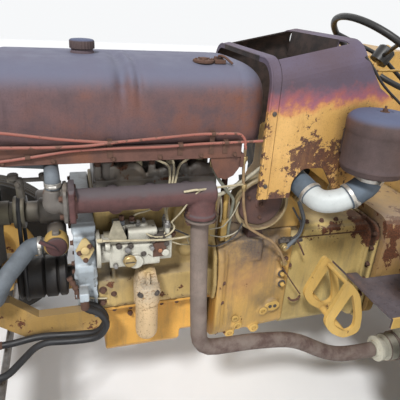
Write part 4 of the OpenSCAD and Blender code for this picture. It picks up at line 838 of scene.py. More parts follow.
def build_pipes():
    red = Shape()
    for out, *route in RED_ROUTES:
        red.pipe(rounded_route([(x, LINE_Y + out, z) for x, z in route], 24), 4)
    red.make("rail_pipes", red_pipe, "fuel_lines")
    for name, finish, radius, *route in LINES:
        Shape().pipe(rounded_route(route, 20), radius, 16).make(name, finish, "fuel_lines")
    nuts = Shape()
    for place, axis, r in (
        ((-45, 229, 1089), DOWN, 9), ((-54, 226.6, 1000), (-0.1, -0.05, -1), 9),
        ((-240, 197, 690), LEFT, 12), ((30, 164, 950), LEFT, 13), ((-236, 193, 748), LEFT, 14),
        ((47, 218, 1080), DOWN, 10), ((-286, 142, 904), LEFT, 13), ((-33, 188, 788), UP, 11),
    ):
        nuts.turned([(-1, r * 0.9), (0, r), (13, r), (14.5, r * 0.85)], place, axis, 6)
        nuts.turned([(13, r * 0.72), (20, r * 0.72), (22, r * 0.6)], place, axis, 18)
    nuts.make("pipe_nuts", brass)
    clips = Shape()
    for x, z, out in ((540, 1114, 1), (150, 1133.2, 1), (20, 1137.4, 1), (339, 1148, 5), (60, 1164.6, 5)):
        clips.blocks(((x - 7, 237.5, 1104), (x + 7, 239.5, z + 8), 0.5))
        clips.ring_band((x, LINE_Y + out, z), FORWARD, 5.2, 12, 1.6, 24)
    clips.bolts(LEFT, *((x, TRAY_Y, 1101, 9) for x in (600, 480, 330, 205, 90, -10)))
    clips.make("rail_clips", rusty_nut)
    lip = Shape()
    for start, inside, height, radius in ((-28, 1.6, 41.5, 2.2), (62, 2.2, 1.6, 2.6)):
        route = [Vector((x, TRAY_Y - inside, TRAY_Z + height)) for x in range(start, 735, 20)]
        lip.pipe(route, radius, 10)
    lip.make("rail_lips", rail_rust)


# Engine

INJECTORS = (59, 153, 247)
HEAD_STUDS = (20, 112, 210, 330, 366)
STUD_Y = 142
STUD_Z = 1047
PAN_BOLTS = (22, 74, 126, 178, 230, 282, 334, 372)
MANIFOLD_Y = 270
MANIFOLD_Z = 1000
DOWNPIPE_X = 91
LEAK = 2.6


def build_engine():
    lumps = Shape()
    for x, radius in ((271, 42), (160, 30), (62, 38)):
        lumps.stubs(((x, 96, 1012), LEFT, 32, radius, 52, 60, radius * 0.72))
    lumps.stubs(*(((x, STUD_Y, 1000), UP, 24, 12, 44, 48, 9) for x in HEAD_STUDS))
    lumps.blocks(((306, 96, 1000), (318, 160, 1046), 2))
    casting("head_casting", "cylinder_head", greasy_iron, 4.0, 2, 1.0, lumps)
    bosses = Shape().stubs(*(((x, 164, 790), LEFT, 24, 15, 10, 12, 12) for x in (40, 336)))
    bosses.blocks(*(((x - 5, 198, 585), (x + 5, 200, 684), 1) for x in (52, 146, 240, 334)))
    casting("block_casting", "engine_block", engine_yellow, 4.8, 2, 0.8, bosses)
    casting("sump_pressing", "sump", sump_yellow, 5.0, 3, 0.8)
    bolts = Shape().bolts(DOWN, *((x, y, 565, 12) for x in PAN_BOLTS for y in (177, -177)))
    bolts.turned([(0, 9), (6, 9), (8, 7), (8, 5), (14, 5), (15, 4)], (280, 150, 518), LEFT, 6)
    bolts.bolts(LEFT, (369, 200, 659, 16), (371, 200, 615, 16), (336, 200, 640, 12))
    bolts.make("block_bolts", rusty_nut)
    Shape().wires((3, 10, (358, 203, 628), (380, 205, 632), (415, 204, 640))).make("block_clip", cream_pipe)
    studs = Shape()
    for x in HEAD_STUDS:
        studs.stubs(((x, STUD_Y, STUD_Z), UP, 6, 9.5, 11, 12.5, 8))
        studs.turned([(12, 5.5), (22, 5.5), (23, 4.5)], (x, STUD_Y, STUD_Z), UP, 14)
    studs.stubs(*(((x, 124, 1042), UP, 6, 10.5, 9, 10, 9) for x in INJECTORS))
    studs.bolts(LEFT, *((x, 95, 1050, 9) for x in (60, 150, 240, 330)))
    studs.make("head_nuts", rusty_nut)
    Shape().wires(
        (LEAK, 10, (247, 124, 1072), (222, 132, 1086), (176, 132, 1086), (153, 124, 1072)),
        (LEAK, 10, (153, 124, 1072), (128, 132, 1086), (84, 132, 1086), (59, 124, 1072)),
        (LEAK, 10, (59, 124, 1072), (36, 140, 1082), (10, 170, 1070), (-12, 205, 1060)),
    ).make("leak_off_pipes", pale_pipe)
    post = Shape().plate([(358, 990), (380, 990), (377, 1056), (364, 1056)], "Y", 128, 136, 1.5)
    post.bolt((368, 136, 1042), LEFT, 11)
    post.turned([(0, 15), (48, 15), (52, 17), (58, 17), (60, 14)], (341, 140, 1000), UP, 32)
    post.make("thermostat_post", front_iron)


def build_manifold():
    low = (434, MANIFOLD_Y - 47, MANIFOLD_Z - 47)
    webs = Shape().blocks((low, (450, MANIFOLD_Y + 47, MANIFOLD_Z + 47), 8))
    webs.stubs(((66, MANIFOLD_Y, MANIFOLD_Z), BACK, 48, 33, 10, 16, 24))
    webs.blocks(((50, 246, 944), (132, 294, 1010), 12))
    casting("manifold_casting", "exhaust_manifold", manifold_rust, 3.0, 4, 1.0, webs)
    casting("downpipe_flange", "exhaust_pipe", downpipe_rust, 3.5, 2, 0.2)
    nuts = Shape()
    for degrees in (35, 125, 215, 305):
        y = MANIFOLD_Y + 39 * math.cos(math.radians(degrees))
        z = MANIFOLD_Z + 39 * math.sin(math.radians(degrees))
        nuts.bolts(FORWARD, (464, y, z, 13)).bolts(BACK, (440, y, z, 13))
    for x, y in ((-36, 12), (36, 12), (0, -38)):
        nuts.bolts(DOWN, (DOWNPIPE_X + x, MANIFOLD_Y + y, 918, 13))
        nuts.bolts(UP, (DOWNPIPE_X + x, MANIFOLD_Y + y, 942, 13))
    nuts.make("manifold_bolts", rusty_nut)
    gaskets = Shape().stubs(
        ((451.2, MANIFOLD_Y, MANIFOLD_Z), FORWARD, 60, 51, 1.6),
        ((DOWNPIPE_X, MANIFOLD_Y, 929.2), UP, 60, 47, 1.6),
    )
    gaskets.make("manifold_gaskets", dark_nut)


PUMP_SCREWS = ((323, 846), (290, 844), (253, 815), (186, 842), (226, 856))
PUMP_FACE = 262


def build_pump():
    lumps = Shape().stubs(((248, 208, 858), UP, 32, 15, 30, 34, 12))
    lumps.blocks(((206, 196, 838), (236, 236, 872), 3), ((268, 184, 876), (330, 220, 892), 3))
    lumps.stubs(((362, PUMP_FACE, 850), BACK, 20, 13, 14))
    casting("pump_casting", "injection_pump", pump_alloy, 2.2, 2, 0.5, lumps)
    plug = Shape().turned([(0, 17), (7, 17), (9, 15), (9.5, 4)], (294, 270, 800), LEFT, 48)
    plug.stubs(((294, 268, 800), LEFT, 8, 20, 4, 5, 18)).make("pump_plug", brass, slot="copper_lines")
    Shape().blocks(((280, 279, 798.4), (308, 280.4, 801.6), 0.5)).make("pump_plug_slot", dark_nut)
    Shape().turned([(0, 10), (5, 10), (7, 8), (7, 5)], (270, 264, 784), LEFT, 32).stubs(
        ((334, PUMP_FACE, 786), LEFT, 6, 7, 12, 13.5, 5.5),
        ((230, PUMP_FACE, 836), LEFT, 6, 7, 12, 13.5, 5.5), ((300, PUMP_FACE, 836), LEFT, 24, 8, 10, 11, 6),
    ).make("pump_screws", bare_steel)
    rod = Shape().pipe([Vector(p) for p in ((384, 268, 874), (192, 268, 858), (106, 250, 852))], 3.2, 12)
    rod.stubs(((384, 268, 874), BACK, 20, 6, 14, 15, 4.5)).make("governor_rod", cream_pipe)
    outline = [(360, 836), (300, 836), (298, 860), (318, 915), (334, 915), (344, 884)]
    bracket = Shape().plate(outline, "Y", 232, 237).blocks(((334, 196, 846), (362, 232, 864), 2))
    bracket.make("pump_bracket", pale_pipe)
    Shape().blocks(((302, 206, 892), (336, 224, 906), 2.5)).make("pump_cover_piece", grey_blue_hose)
    shutoff = Shape().blocks(((184, 226, 838), (218, 250, 866), 2))
    shutoff.stubs(((266, 222, 860), BACK, 28, 12, 34, 36, 10))
    shutoff.bolts(LEFT, (192, 250, 846, 8), (208, 250, 858, 8), (192, 250, 860, 8))
    shutoff.make("pump_shutoff", dark_nut)
    terminal = Shape().blocks(((186, 240, 800), (226, 263.5, 848), 2))
    terminal.bolts(UP, (280, 214, 905, 14)).bolts(LEFT, (158, 214, 846, 14))
    terminal.stubs(((310, 214, 904), UP, 6, 8, 16, 17, 6)).make("pump_terminal", rusty_nut)
    Shape().stubs(((205, PUMP_FACE, 822), LEFT, 6, 7, 5, 6.5, 5)).make("pump_terminal_bolt", copper)
    screws = Shape()
    for x, z in PUMP_SCREWS:
        screws.turned([(-8, 8), (3, 8), (4, 6.5)], (x, PUMP_FACE - 1, z), LEFT, 18)
        screws.turned([(3, 5), (7, 5), (8, 4)], (x, PUMP_FACE - 1, z), LEFT, 6)
    screws.make("pump_face_screws", dark_nut)
    unions = Shape()
    for y in (202, 222, 242):
        unions.stubs(((180, y, 886), UP, 6, 9.5, 12, 14, 7))
        unions.turned([(12, 6), (20, 6), (22, 4.5)], (180, y, 886), UP, 16)
    for place in ((278, 205, 890), (262, 214, 884), (244, 205, 884)):
        unions.turned([(0, 8), (9, 8), (10, 6), (10, 5), (18, 5)], place, UP, 6)
    unions.make("pump_unions", bare_steel)
    Shape().wires(
        (2.8, 10, (168, 236, 900), (160, 244, 880), (186, 252, 862), (222, 252, 862), (246, 240, 872)),
        (2.8, 10, (280, 205, 908), (262, 212, 922), (226, 206, 928), (186, 196, 950), (166, 190, 1000)),
    ).make("pump_small_pipes", cream_pipe)


COVER_FRONT = 447
COVER_BACK = 384


def build_timing_cover():
    ribs = Shape()
    for x, y, z in (
        (COVER_BACK, 196, 650), (COVER_BACK, 196, 690), (COVER_BACK, 212, 730), (COVER_BACK, 212, 888),
        (COVER_BACK + 2, 228, 772), (COVER_BACK + 2, 228, 866),
    ):
        ribs.stubs(((x, y, z), FORWARD, 20, 12, 67 if x == COVER_BACK else 60))
    ribs.blocks(((386, 130, 560), (398, 208, 690), 4))
    casting("timing_cover_casting", "timing_cover", cover_alloy, 3.4, 3, 0.6, ribs)
    outline = [
        (390, 836), (398, 820), (410, 800), (416, 797), (422, 800), (434, 820), (442, 836), (434, 852),
        (422, 872), (416, 875), (410, 872), (398, 852),
    ]
    plate = Shape().plate(outline, "Y", 242, 249, 1.5).stubs(((416, 248, 836), LEFT, 32, 12, 5, 7, 9))
    plate.make("pump_gear_plate", plate_yellow)
    bolts = Shape().bolts(LEFT, (432, 249, 829, 10), (403, 249, 848, 10), (416, 249, 804, 10))
    bolts.bolts(FORWARD, *((COVER_FRONT, y, z, 12) for y, z in (
        (190, 895), (110, 893), (20, 893), (-80, 893), (-160, 893), (-178, 820), (-178, 740), (205, 740),
        (188, 690), (168, 650), (118, 600), (90, 562), (-90, 562), (-118, 610), (222, 780), (224, 850),
    )))
    bolts.make("timing_cover_bolts", rusty_nut)


FILTER_X = 240
FILTER_Y = 246


def build_filter():
    outline = [(-36, 640), (36, 640), (36, 692), (26, 742), (12, 750), (-12, 750), (-26, 742), (-36, 692)]
    head = Shape().plate([(FILTER_X + x, z) for x, z in outline], "Y", 200, FILTER_Y + 12, 4)
    head.turned([(0, 40), (58, 40), (66, 34), (70, 20), (71, 3)], (FILTER_X, FILTER_Y, 636), UP, 48)
    outline = [(-6, 690), (6, 690), (5, 748), (-5, 748)]
    head.plate([(FILTER_X + x, z) for x, z in outline], "Y", FILTER_Y, FILTER_Y + 22, 2)
    head.stubs(*(((FILTER_X + x, FILTER_Y + 4, 682), LEFT, 24, 15, 22, 26, 12) for x in (-24, 24)))
    head.make("filter_head", filter_paint, "oil_filter")
    Shape().turned(
        [(0, 5), (3, 22), (8, 28), (18, 33), (30, 35), (132, 35), (134, 37), (140, 37), (143, 35), (144, 30)],
        (FILTER_X, FILTER_Y, 496), UP, 56
    ).make("filter_canister", filter_paint, "oil_filter")
    bolts = Shape().bolts(LEFT, *((FILTER_X + x, FILTER_Y + 30, 682, 13) for x in (-24, 24)))
    bolts.make("filter_bolts", dark_nut)


# Front of the engine, radiator and lamps

TOP_HOSE = [
    (486, 270, 1040), (486, 270, 1070), (492, 165, 1072), (633, 130, 1072), (661, 130, 1100),
    (697, 130, 1100),
]
LOW_HOSE = [(539, 92, 774), (575, 92, 774), (649, 180, 720), (679, 186, 656), (701, 186, 656)]
HOSE_PORTS = (300, 160)
BELT_X = 604
ELBOW_X = 497
ELBOW_Z = 788


def steering_hose(i):
    side = 24 * i
    down = 246 - 26 * i
    port = HOSE_PORTS[i]
    return [
        (426, down, 664), (426, down, 632), (382, 238 - side, 604), (360, 236 - side, 555),
        (386, 226 - side, 496), (456, 206 - 30 * i, 478), (572, 190 - 30 * i, 478), (662, port, 462),
        (722, port, 462),
    ]


def build_front():
    low = (453, MANIFOLD_Y - 45, MANIFOLD_Z - 45)
    elbow = Shape().blocks((low, (464, MANIFOLD_Y + 45, MANIFOLD_Z + 45), 7))
    elbow.turned([(0, 36), (8, 30), (26, 28)], (463, MANIFOLD_Y, MANIFOLD_Z), FORWARD)
    elbow.turned([(0, 29), (26, 26), (38, 24)], (486, MANIFOLD_Y, MANIFOLD_Z))
    elbow.stubs(((ELBOW_X, 118, ELBOW_Z), LEFT, 40, 34, 10, 12, 30))
    elbow.blocks(((ELBOW_X - 11, 100, 806), (ELBOW_X + 11, 126, 834), 4))
    casting("water_pump_casting", "water_pump", front_iron, 3.0, 3, 0.8, elbow)
    cap = Shape().turned([(0, 31), (6, 31), (9, 27), (9, 6)], (ELBOW_X, 130, ELBOW_Z), LEFT, 48)
    cap.plate([(492, 782), (502, 796), (540, 822), (547, 812)], "Y", 137, 147, 1.5)
    cap.make("pump_elbow_cap", manifold_rust)
    collar = Shape().turned([(0, 36), (2, 37), (38, 37), (42, 34)], (ELBOW_X, 88, ELBOW_Z), LEFT, 48)
    collar.make("pump_elbow_collar", strip_yellow)
    grey = Shape().pipe(rounded_route(TOP_HOSE, 24, 10), 19, 28).pipe(rounded_route(LOW_HOSE, 40, 10), 27, 36)
    grey.make("water_hoses", hose_rubber, "hoses")
    black = Shape()
    ends = Shape()
    for i in (0, 1):
        route = steering_hose(i)
        black.pipe(rounded_route(route, 40, 8), 11, 20)
        ends.stubs((route[0], DOWN, 20, 12.5, 30, 33, 11)).turned([(-10, 14), (2, 14)], route[0], DOWN, 6)
        ends.stubs((route[-1], BACK, 20, 12.5, 34, 37, 11)).turned([(-8, 14), (4, 14)], route[-1], BACK, 6)
    black.make("steering_hoses", black_hose, "hoses")
    ends.make("steering_hose_ends", rusty_nut)
    clamps = Shape()
    for place, axis, r in (
        ((486, 270, 1052), UP, 20.5), ((688, 130, 1100), FORWARD, 20.5), ((548, 92, 774), FORWARD, 28.5),
        ((696, 186, 656), FORWARD, 28.5),
    ):
        clamps.ring_band(place, axis, r, 12, 2.2, 48)
        screw = Vector(place) + LEFT * (r + 4)
        clamps.turned([(-9, 5), (9, 5), (10, 4)], screw, across(axis)[0].cross(axis), 12)
    clamps.make("hose_clamps", clamp_steel)
    Shape().stubs(
        ((585, 92, 944), UP, 28, 12, 54, 58, 9), ((516, 90, 996), UP, 28, 15, 14, 16, 13),
        ((600, 90, 998), UP, 28, 15, 14, 16, 13), ((516, 90, 1012), UP, 20, 5, 3),
    ).bolts(LEFT, (588, 103, 986, 12)).make("adjuster_post", front_iron)
    route = []
    for radius, height in ((49, 850), (-71, 600)):
        for a in (math.pi * k / 18 for k in range(19)):
            route.append(Vector((BELT_X, radius * math.cos(a), height + radius * math.sin(a))))
    Shape().pipe(route, 6.5, 8, closed=True).make("fan_belt", black_hose)


LAMP_X = 849
LAMP_Y = 331
LAMP_Z = 950


def build_radiator():
    heights = [667 + k * 4.95 for k in range(84)]
    fins = Shape().blocks(*(((744.2, -213, z), (801.8, 213, z + 0.9), 0.2) for z in heights))
    fins.make("radiator_fins", fin_metal)
    places = [-204 + k * 19.4 for k in range(22)]
    tubes = Shape().blocks(*(((743.6, y - 1.6, 664), (802.4, y + 1.6, 1080), 0.6) for y in places))
    tubes.make("radiator_tubes", radiator_black)
    profile = [(-4, 24), (4, 24), (6, 27), (14, 27), (17, 22), (18, 5)]
    Shape().turned(profile, (772, 0, 1126), UP, 48, ribs=8, rib_depth=1.5).make("radiator_cap", bare_steel)
    glass = Shape()
    bezel = Shape()
    for side in (-1, 1):
        profile = [(24, 66), (30, 60), (34, 44), (36.5, 22), (37, 1)]
        glass.turned(profile, (LAMP_X, LAMP_Y * side, LAMP_Z), FORWARD, 64)
        bezel.ring_band((LAMP_X + 22, LAMP_Y * side, LAMP_Z), FORWARD, 72, 14, 7, 64)
    glass.make("lamp_glasses", lamp_glass)
    bezel.make("lamp_bezels", bare_steel)
    wires = Shape()
    for z in range(682, 1072, 15):
        wires.pipe([Vector((887, y, z)) for y in (-192, 0, 192)], 1.2, 6)
    wires.make("grille_wires", radiator_black)
    bolts = Shape()
    for z in (680, 900, 1100):
        bolts.bolts(RIGHT, (820, -245, z, 11)).bolts(LEFT, (820, 245, z, 11))
    bolts.make("shell_bolts", rusty_nut)


# Cowl, intake and steering drum

COWL_FRONT = -96
COWL_HALF = 250
COWL_LOW = 962
COWL_ROUND = 70
COWL_TOP = 1357.66


def build_cowl():
    corner_z = COWL_TOP - COWL_ROUND
    corner_y = COWL_HALF - COWL_ROUND
    rise = corner_z - COWL_LOW
    section = [(COWL_HALF, COWL_LOW + rise * k / 24) for k in range(25)]
    for k in range(1, 13):
        a = math.pi / 2 * k / 12
        section.append((corner_y + COWL_ROUND * math.cos(a), corner_z + COWL_ROUND * math.sin(a)))
    section += [(corner_y * (1 - k / 10), COWL_TOP) for k in range(1, 20)]
    for k in range(1, 13):
        a = math.pi / 2 * (1 + k / 12)
        section.append((COWL_ROUND * math.cos(a) - corner_y, corner_z + COWL_ROUND * math.sin(a)))
    section += [(-COWL_HALF, corner_z - rise * k / 24) for k in range(1, 25)]
    bead = Shape().pipe([Vector((COWL_FRONT, y, z)) for y, z in section], 3.6, 12)
    bead.make("cowl_front_bead", cowl_paint)
    screws = Shape()
    for side, z, axis in ((1, 1218, LEFT), (1, 1000, LEFT), (-1, 1218, RIGHT)):
        place = (COWL_FRONT - 16, (COWL_HALF + 1.5) * side, z)
        screws.turned([(0, 6.5), (2, 6.5), (3.5, 5), (3.8, 2)], place, axis, 20)
    screws.make("cowl_screws", dark_nut)
    rod = Shape().wires((4, 12, (-372, 244, 1376), (-402, 246, 1348), (-452, 248, 1296), (-536, 246, 1236)))
    rod.make("cowl_edge_rod", black_iron)


CAN_X = -392
CAN_Y = 350
CAN_LOW = 1072
# The intake's parts end at these steps of its route
CUFF_END = 12
WHITE_END = 29


def build_intake():
    can = Shape().turned(
        [(0, 20), (0, 78), (3, 86), (8, 90), (17, 91.5), (20, 94), (24, 94), (27, 92.5), (60, 93),
         (112, 92.5), (118, 94), (122, 96), (146, 96), (150, 95), (156, 92.5), (163, 86), (168, 78),
         (171, 64), (173, 50), (175.5, 30), (176, 24), (173.5, 21), (173.5, 12), (174, 3)],
        (CAN_X, CAN_Y, CAN_LOW), UP, 96
    )
    can.blocks(((CAN_X - 50, 250, CAN_LOW + 30), (CAN_X + 50, 290, CAN_LOW + 100), 3))
    can.make("cleaner_can", cleaner_rust, "air_cleaner")
    top = (CAN_X, CAN_Y, CAN_LOW + 173)
    nut = Shape().stubs((top, UP, 6, 7, 9, 10, 5.5)).turned([(8, 3.5), (16, 3.5), (17, 2.5)], top, UP, 14)
    nut.stubs(((CAN_X, CAN_Y, CAN_LOW + 172.6), UP, 28, 13, 2)).make("cleaner_nut", rusty_nut)
    route = rounded_route([
        (CAN_X, CAN_Y, CAN_LOW + 4), (CAN_X, CAN_Y, 1032), (-316, 350, 984), (-260, 318, 968),
        (-242, 262, 990), (-242, 130, 1000), (-242, 62, 1000),
    ], 56, 8)
    taper = [39.0 - 0.12 * i for i in range(CUFF_END + 1)]
    for name, finish, start, end, radius in (
        ("intake_cuff", cuff_rubber, 0, CUFF_END + 1, taper),
        ("white_elbow", white_plastic, CUFF_END - 1, WHITE_END + 1, 34.0),
        ("intake_sleeve", cuff_rubber, WHITE_END - 1, None, 35.5),
    ):
        Shape().pipe(route[start:end], radius, 40).make(name, finish, "intake_elbow")
    clamps = Shape()
    for i, r in ((CUFF_END - 1, 39.0), (1, 40.5), (WHITE_END, 37.0)):
        along = (route[i + 1] - route[i - 1]).normalized()
        clamps.ring_band(route[i], along, r, 11, 2.4, 56)
        screw = route[i] + LEFT * (r + 4)
        clamps.turned([(-10, 5.5), (10, 5.5), (11, 4.5)], screw, along.cross(UP).normalized(), 14)
    clamps.make("intake_clamps", clamp_steel)


DRUM_X = -133
DRUM_Y = 204
DRUM_Z = 915


def build_drum():
    face = Shape().turned(
        [(-70, 70), (-14, 76), (-12, 74), (-12, 20), (-8, 16), (-7, 4)], (DRUM_X, DRUM_Y, DRUM_Z), LEFT, 72
    )
    face.blocks(((DRUM_X - 27, DRUM_Y - 74, 780), (DRUM_X + 27, DRUM_Y - 24, 850), 4))
    face.make("drum_face", drum_rust, "steering_drum")
    rim = Shape().ring_band((DRUM_X, DRUM_Y - 9, DRUM_Z), LEFT, 86, 20, 11, 96)
    rim.ring_band((DRUM_X, DRUM_Y - 44, DRUM_Z), LEFT, 80, 56, 8, 96)
    rim.make("drum_rim", drum_paint, "steering_drum")
    hub = Shape().bolt((DRUM_X, DRUM_Y - 7, DRUM_Z), LEFT, 14, stud=3)
    for k in range(3):
        a = math.tau * k / 3 + 0.5
        hub.bolt((DRUM_X + 48 * math.cos(a), DRUM_Y - 12, DRUM_Z + 48 * math.sin(a)), LEFT, 9)
    hub.make("drum_bolts", rusty_nut)


# Clutch housing, gearbox and what hangs on them

SEAM_Y = 143.2
FLANGE_X = -629
# X and Z of the two large bolts above the oval plate, and the plate's own middle
PLATE_BOLTS = ((-256, 624), (-262, 580))
OVAL_X = -236
OVAL_Z = 486


def build_transmission():
    webs = Shape()
    for x, z in PLATE_BOLTS:
        webs.turned([(0, 20), (20, 17)], (x, 150, z), LEFT, 28)
    webs.blocks(((-262, 140, 470), (-212, 184, 502), 8))
    webs.turned([(0, 16), (40, 12)], (-263, 140, 687), LEFT, 24)
    casting("housing_casting", "clutch_housing", bell_yellow, 4.8, 2, 0.8, webs)
    casting("gearbox_casting", "gearbox", gearbox_yellow, 4.6, 2, 0.8)
    casting("column_casting", "steering_column", bell_yellow, 4.6, 2, 0.5)
    bolts = Shape().bolts(BACK, *((-21, y - 4, z - 2, 13) for y, z in (
        (216, 560), (210, 480), (190, 410), (120, 376), (216, 640), (206, 712), (170, 772), (60, 788),
        (-60, 788),
    )))
    bolts.bolts(LEFT, (-263, 181, 687, 11), (-296, 158, 640, 10))
    bolts.bolts(UP, *((x, y, 789, 12) for x in (-598, -540, -480, -420, -360) for y in (118, -118)))
    bolts.bolts(FORWARD, *((FLANGE_X, y, z, 13) for z in (400, 470, 540, 610, 680, 740) for y in (166, -166)))
    bolts.make("transmission_bolts", rusty_nut)
    rings = Shape()
    for x, z, y, r in (
        (-85, 469, 203, 13), (-76, 392, 188, 17), (-173, 396, 184, 18), (-200, 470, 186, 16),
        (-98, 436, 204, 15),
    ):
        rings.turned([(-3, r), (1.5, r), (2.5, r - 1.5), (2.5, r * 0.5), (-2, r * 0.45)], (x, y, z), LEFT, 32)
    for x, z in PLATE_BOLTS:
        rings.bolt((x, 182, z), LEFT, 15, washer=False, stud=2)
    rings.make("housing_rings", strip_yellow)
    holes = Shape().stubs(*(((OVAL_X + x, 184.5, OVAL_Z), LEFT, 24, 7, 1.2, 1.4, 6) for x in (-10, 9)))
    holes.stubs(*(((x, 179, z), LEFT, 32, 15, 1.6, 2.4, 14) for x, z in PLATE_BOLTS))
    holes.make("oval_plate_holes", dark_nut)
    route = rounded_route([(-300, SEAM_Y, 744), (-604, SEAM_Y, 744), (-612, SEAM_Y, 764)], 12)
    Shape().pipe(route, 2.0, 10).make("gearbox_seam", rusty_nut)
    outline = [(OVAL_X + 30 * math.cos(a), OVAL_Z + 21 * math.sin(a)) for a in round_the(28)]
    Shape().plate(outline, "Y", 176, 184.6, 2).make("oval_plate", strip_yellow)
    Shape().stubs(
        ((-223, 186, 762), BACK, 6, 10, 34, 36, 8), ((-256, 186, 760), BACK, 18, 7, 52, 54, 6),
        ((-268, 186, 760), BACK, 6, 12, 16, 18, 10),
    ).turned([(-10, 8), (14, 8), (16, 6)], (-240, 186, 760), UP, 18).blocks(
        ((-290, 150, 740), (-230, 184, 756), 3)
    ).make("valve_cluster", dark_nut)
    Shape().wires(
        (3, 10, (-288, 192, 764), (-306, 192, 734), (-326, 190, 699)),
        (2.4, 10, (-243, 200, 665), (-280, 198, 610), (-339, 190, 529)),
        (4, 10, (-299, 180, 512), (-312, 184, 500), (-336, 182, 500), (-352, 172, 506)),
    ).make("linkage_rods", rusty_nut)
    post = Shape().stubs(((-21, 176, 858), UP, 24, 8, 92, 95, 6), ((-21, 176, 852), UP, 6, 11, 8, 10, 9))
    post.blocks(((-34, 150, 784), (-8, 186, 862), 3)).make("yellow_post", strip_yellow)


# Wires and small pipes: each piece's finish, then radius, sides and points
WIRES = {
    "loom_wire": (
        cream_pipe,
        (3.2, 12, (151, 300, 1021), (120, 303, 1026), (104, 300, 1024), (40, 268, 1014), (-51, 228, 1001)),
        (2.6, 10, (104, 300, 1024), (128, 296, 1000), (150, 290, 960), (170, 250, 905)),
    ),
    "pale_wires": (
        pale_pipe,
        (2.2, 10, (34, 200, 842), (-2, 204, 848), (-18, 204, 862), (-36, 206, 890), (-52, 210, 935)),
        (2.2, 10, (32, 200, 820), (-8, 204, 812), (-42, 206, 820), (-66, 206, 838), (-70, 204, 852)),
        (3.0, 10, (25, 192, 954), (12, 194, 960), (4, 194, 944), (-2, 192, 900), (-2, 190, 859)),
    ),
    "dark_wires": (
        dark_wire,
        (2.6, 10, (180, 240, 884), (120, 232, 850), (70, 222, 814), (23, 212, 786), (-20, 208, 793),
         (-53, 208, 818), (-70, 208, 858)),
        (3.5, 10, (-264, 170, 880), (-282, 176, 850), (-300, 178, 820), (-290, 186, 786), (-262, 192, 770)),
    ),
    "return_pipes": (
        cream_pipe,
        (2.4, 10, (168, 232, 884), (190, 248, 860), (150, 252, 832), (96, 214, 800), (80, 206, 780)),
        (2.4, 10, (176, 212, 884), (150, 216, 862), (118, 208, 838), (100, 202, 800)),
    ),
}


def build_wires():
    for name, (finish, *rows) in WIRES.items():
        Shape().wires(*rows).make(name, finish)
    points = [(466, 214, 728), (452, 222, 700), (440, 230, 672), (426, 238, 650), (410, 240, 610)]
    route = smooth_route(points, 8)
    chain = Shape()
    for i in range(0, len(route) - 1, 4):
        along = (route[i + 1] - route[i]).normalized()
        chain.stubs((route[i], along, 6 if i % 8 else 18, 9, 9, 10, 7))
    chain.pipe(route, 6.5, 14).make("hydraulic_fittings", rusty_nut)


# Driver's place

# The pad's section: share of its height, and share of its size there
PAD_LEVELS = (
    (0.0, 0.80), (0.0, 0.93), (0.18, 0.985), (0.42, 1.0), (0.64, 0.985), (0.82, 0.93), (0.93, 0.83),
    (1.0, 0.66), (1.04, 0.45), (1.06, 0.2), (1.065, 0.03),
)
PAD_CORNER = 4.5
PAD_SIDES = 96
PAD_VOXEL = 0.008
PAD_PRESSURE = 4.0
PAD_MOST_MOVE = 0.006
PAD_HELD = 0.006
CLOTH_FRAMES = 20
# Where the back's pad ends up once it stands, in metres
REST_X = -1.056
REST_Z = 1.082


def cushion_mesh(name, low, high):
    """A closed pad with rounded corners whose top is crowned and whose sides pull in between the corners."""
    middle_x, middle_y = [(a + b) / 2 for a, b in zip(low[:2], high)]
    half_x, half_y = [(b - a) / 2 for a, b in zip(low[:2], high)]
    power = 2 / PAD_CORNER
    rings = []
    for share, size in PAD_LEVELS:
        ring = []
        for a in round_the(PAD_SIDES):
            c = math.cos(a)
            s = math.sin(a)
            x = math.copysign(abs(c) ** power, c)
            y = math.copysign(abs(s) ** power, s)
            pull = 1 - 0.018 * (1 - abs(math.sin(2 * a)))
            z = low[2] + (high[2] - low[2]) * share
            ring.append((middle_x + half_x * size * x * pull, middle_y + half_y * size * y * pull, z))
        rings.append(ring)
    return Shape().loft(rings).mesh(name)


def swell(obj):
    """Remeshes the pad, blows it up as cloth, caps each point's move and applies the result."""
    even = obj.modifiers.new("even", 'REMESH')
    even.mode = 'VOXEL'
    even.voxel_size = PAD_VOXEL
    bpy.context.view_layer.objects.active = obj
    base = evaluated_mesh(obj)
    obj.modifiers.clear()
    obj.data = base
    start = [v.co.copy() for v in base.vertices]
    low = min(p.z for p in start)
    held = obj.vertex_groups.new(name="held")
    held.add([i for i, p in enumerate(start) if p.z < low + PAD_HELD], 1.0, 'REPLACE')
    cloth = obj.modifiers.new("cloth", 'CLOTH')
    cloth.settings.use_pressure = True
    cloth.settings.uniform_pressure_force = PAD_PRESSURE
    cloth.settings.effector_weights.gravity = 0
    cloth.settings.vertex_group_mass = "held"
    cloth.settings.quality = 6
    for frame_number in range(1, CLOTH_FRAMES + 1):
        scene.frame_set(frame_number)
    swollen = evaluated_mesh(obj)
    obj.modifiers.clear()
    for vertex, before in zip(swollen.vertices, start):
        move = vertex.co - before
        if move.length > PAD_MOST_MOVE:
            vertex.co = before + move.normalized() * PAD_MOST_MOVE
        vertex.co.z = max(vertex.co.z, low)
    obj.data = swollen
    scene.frame_set(1)
    finer = obj.modifiers.new("finer", 'SUBSURF')
    finer.levels = 1
    finer.render_levels = 1


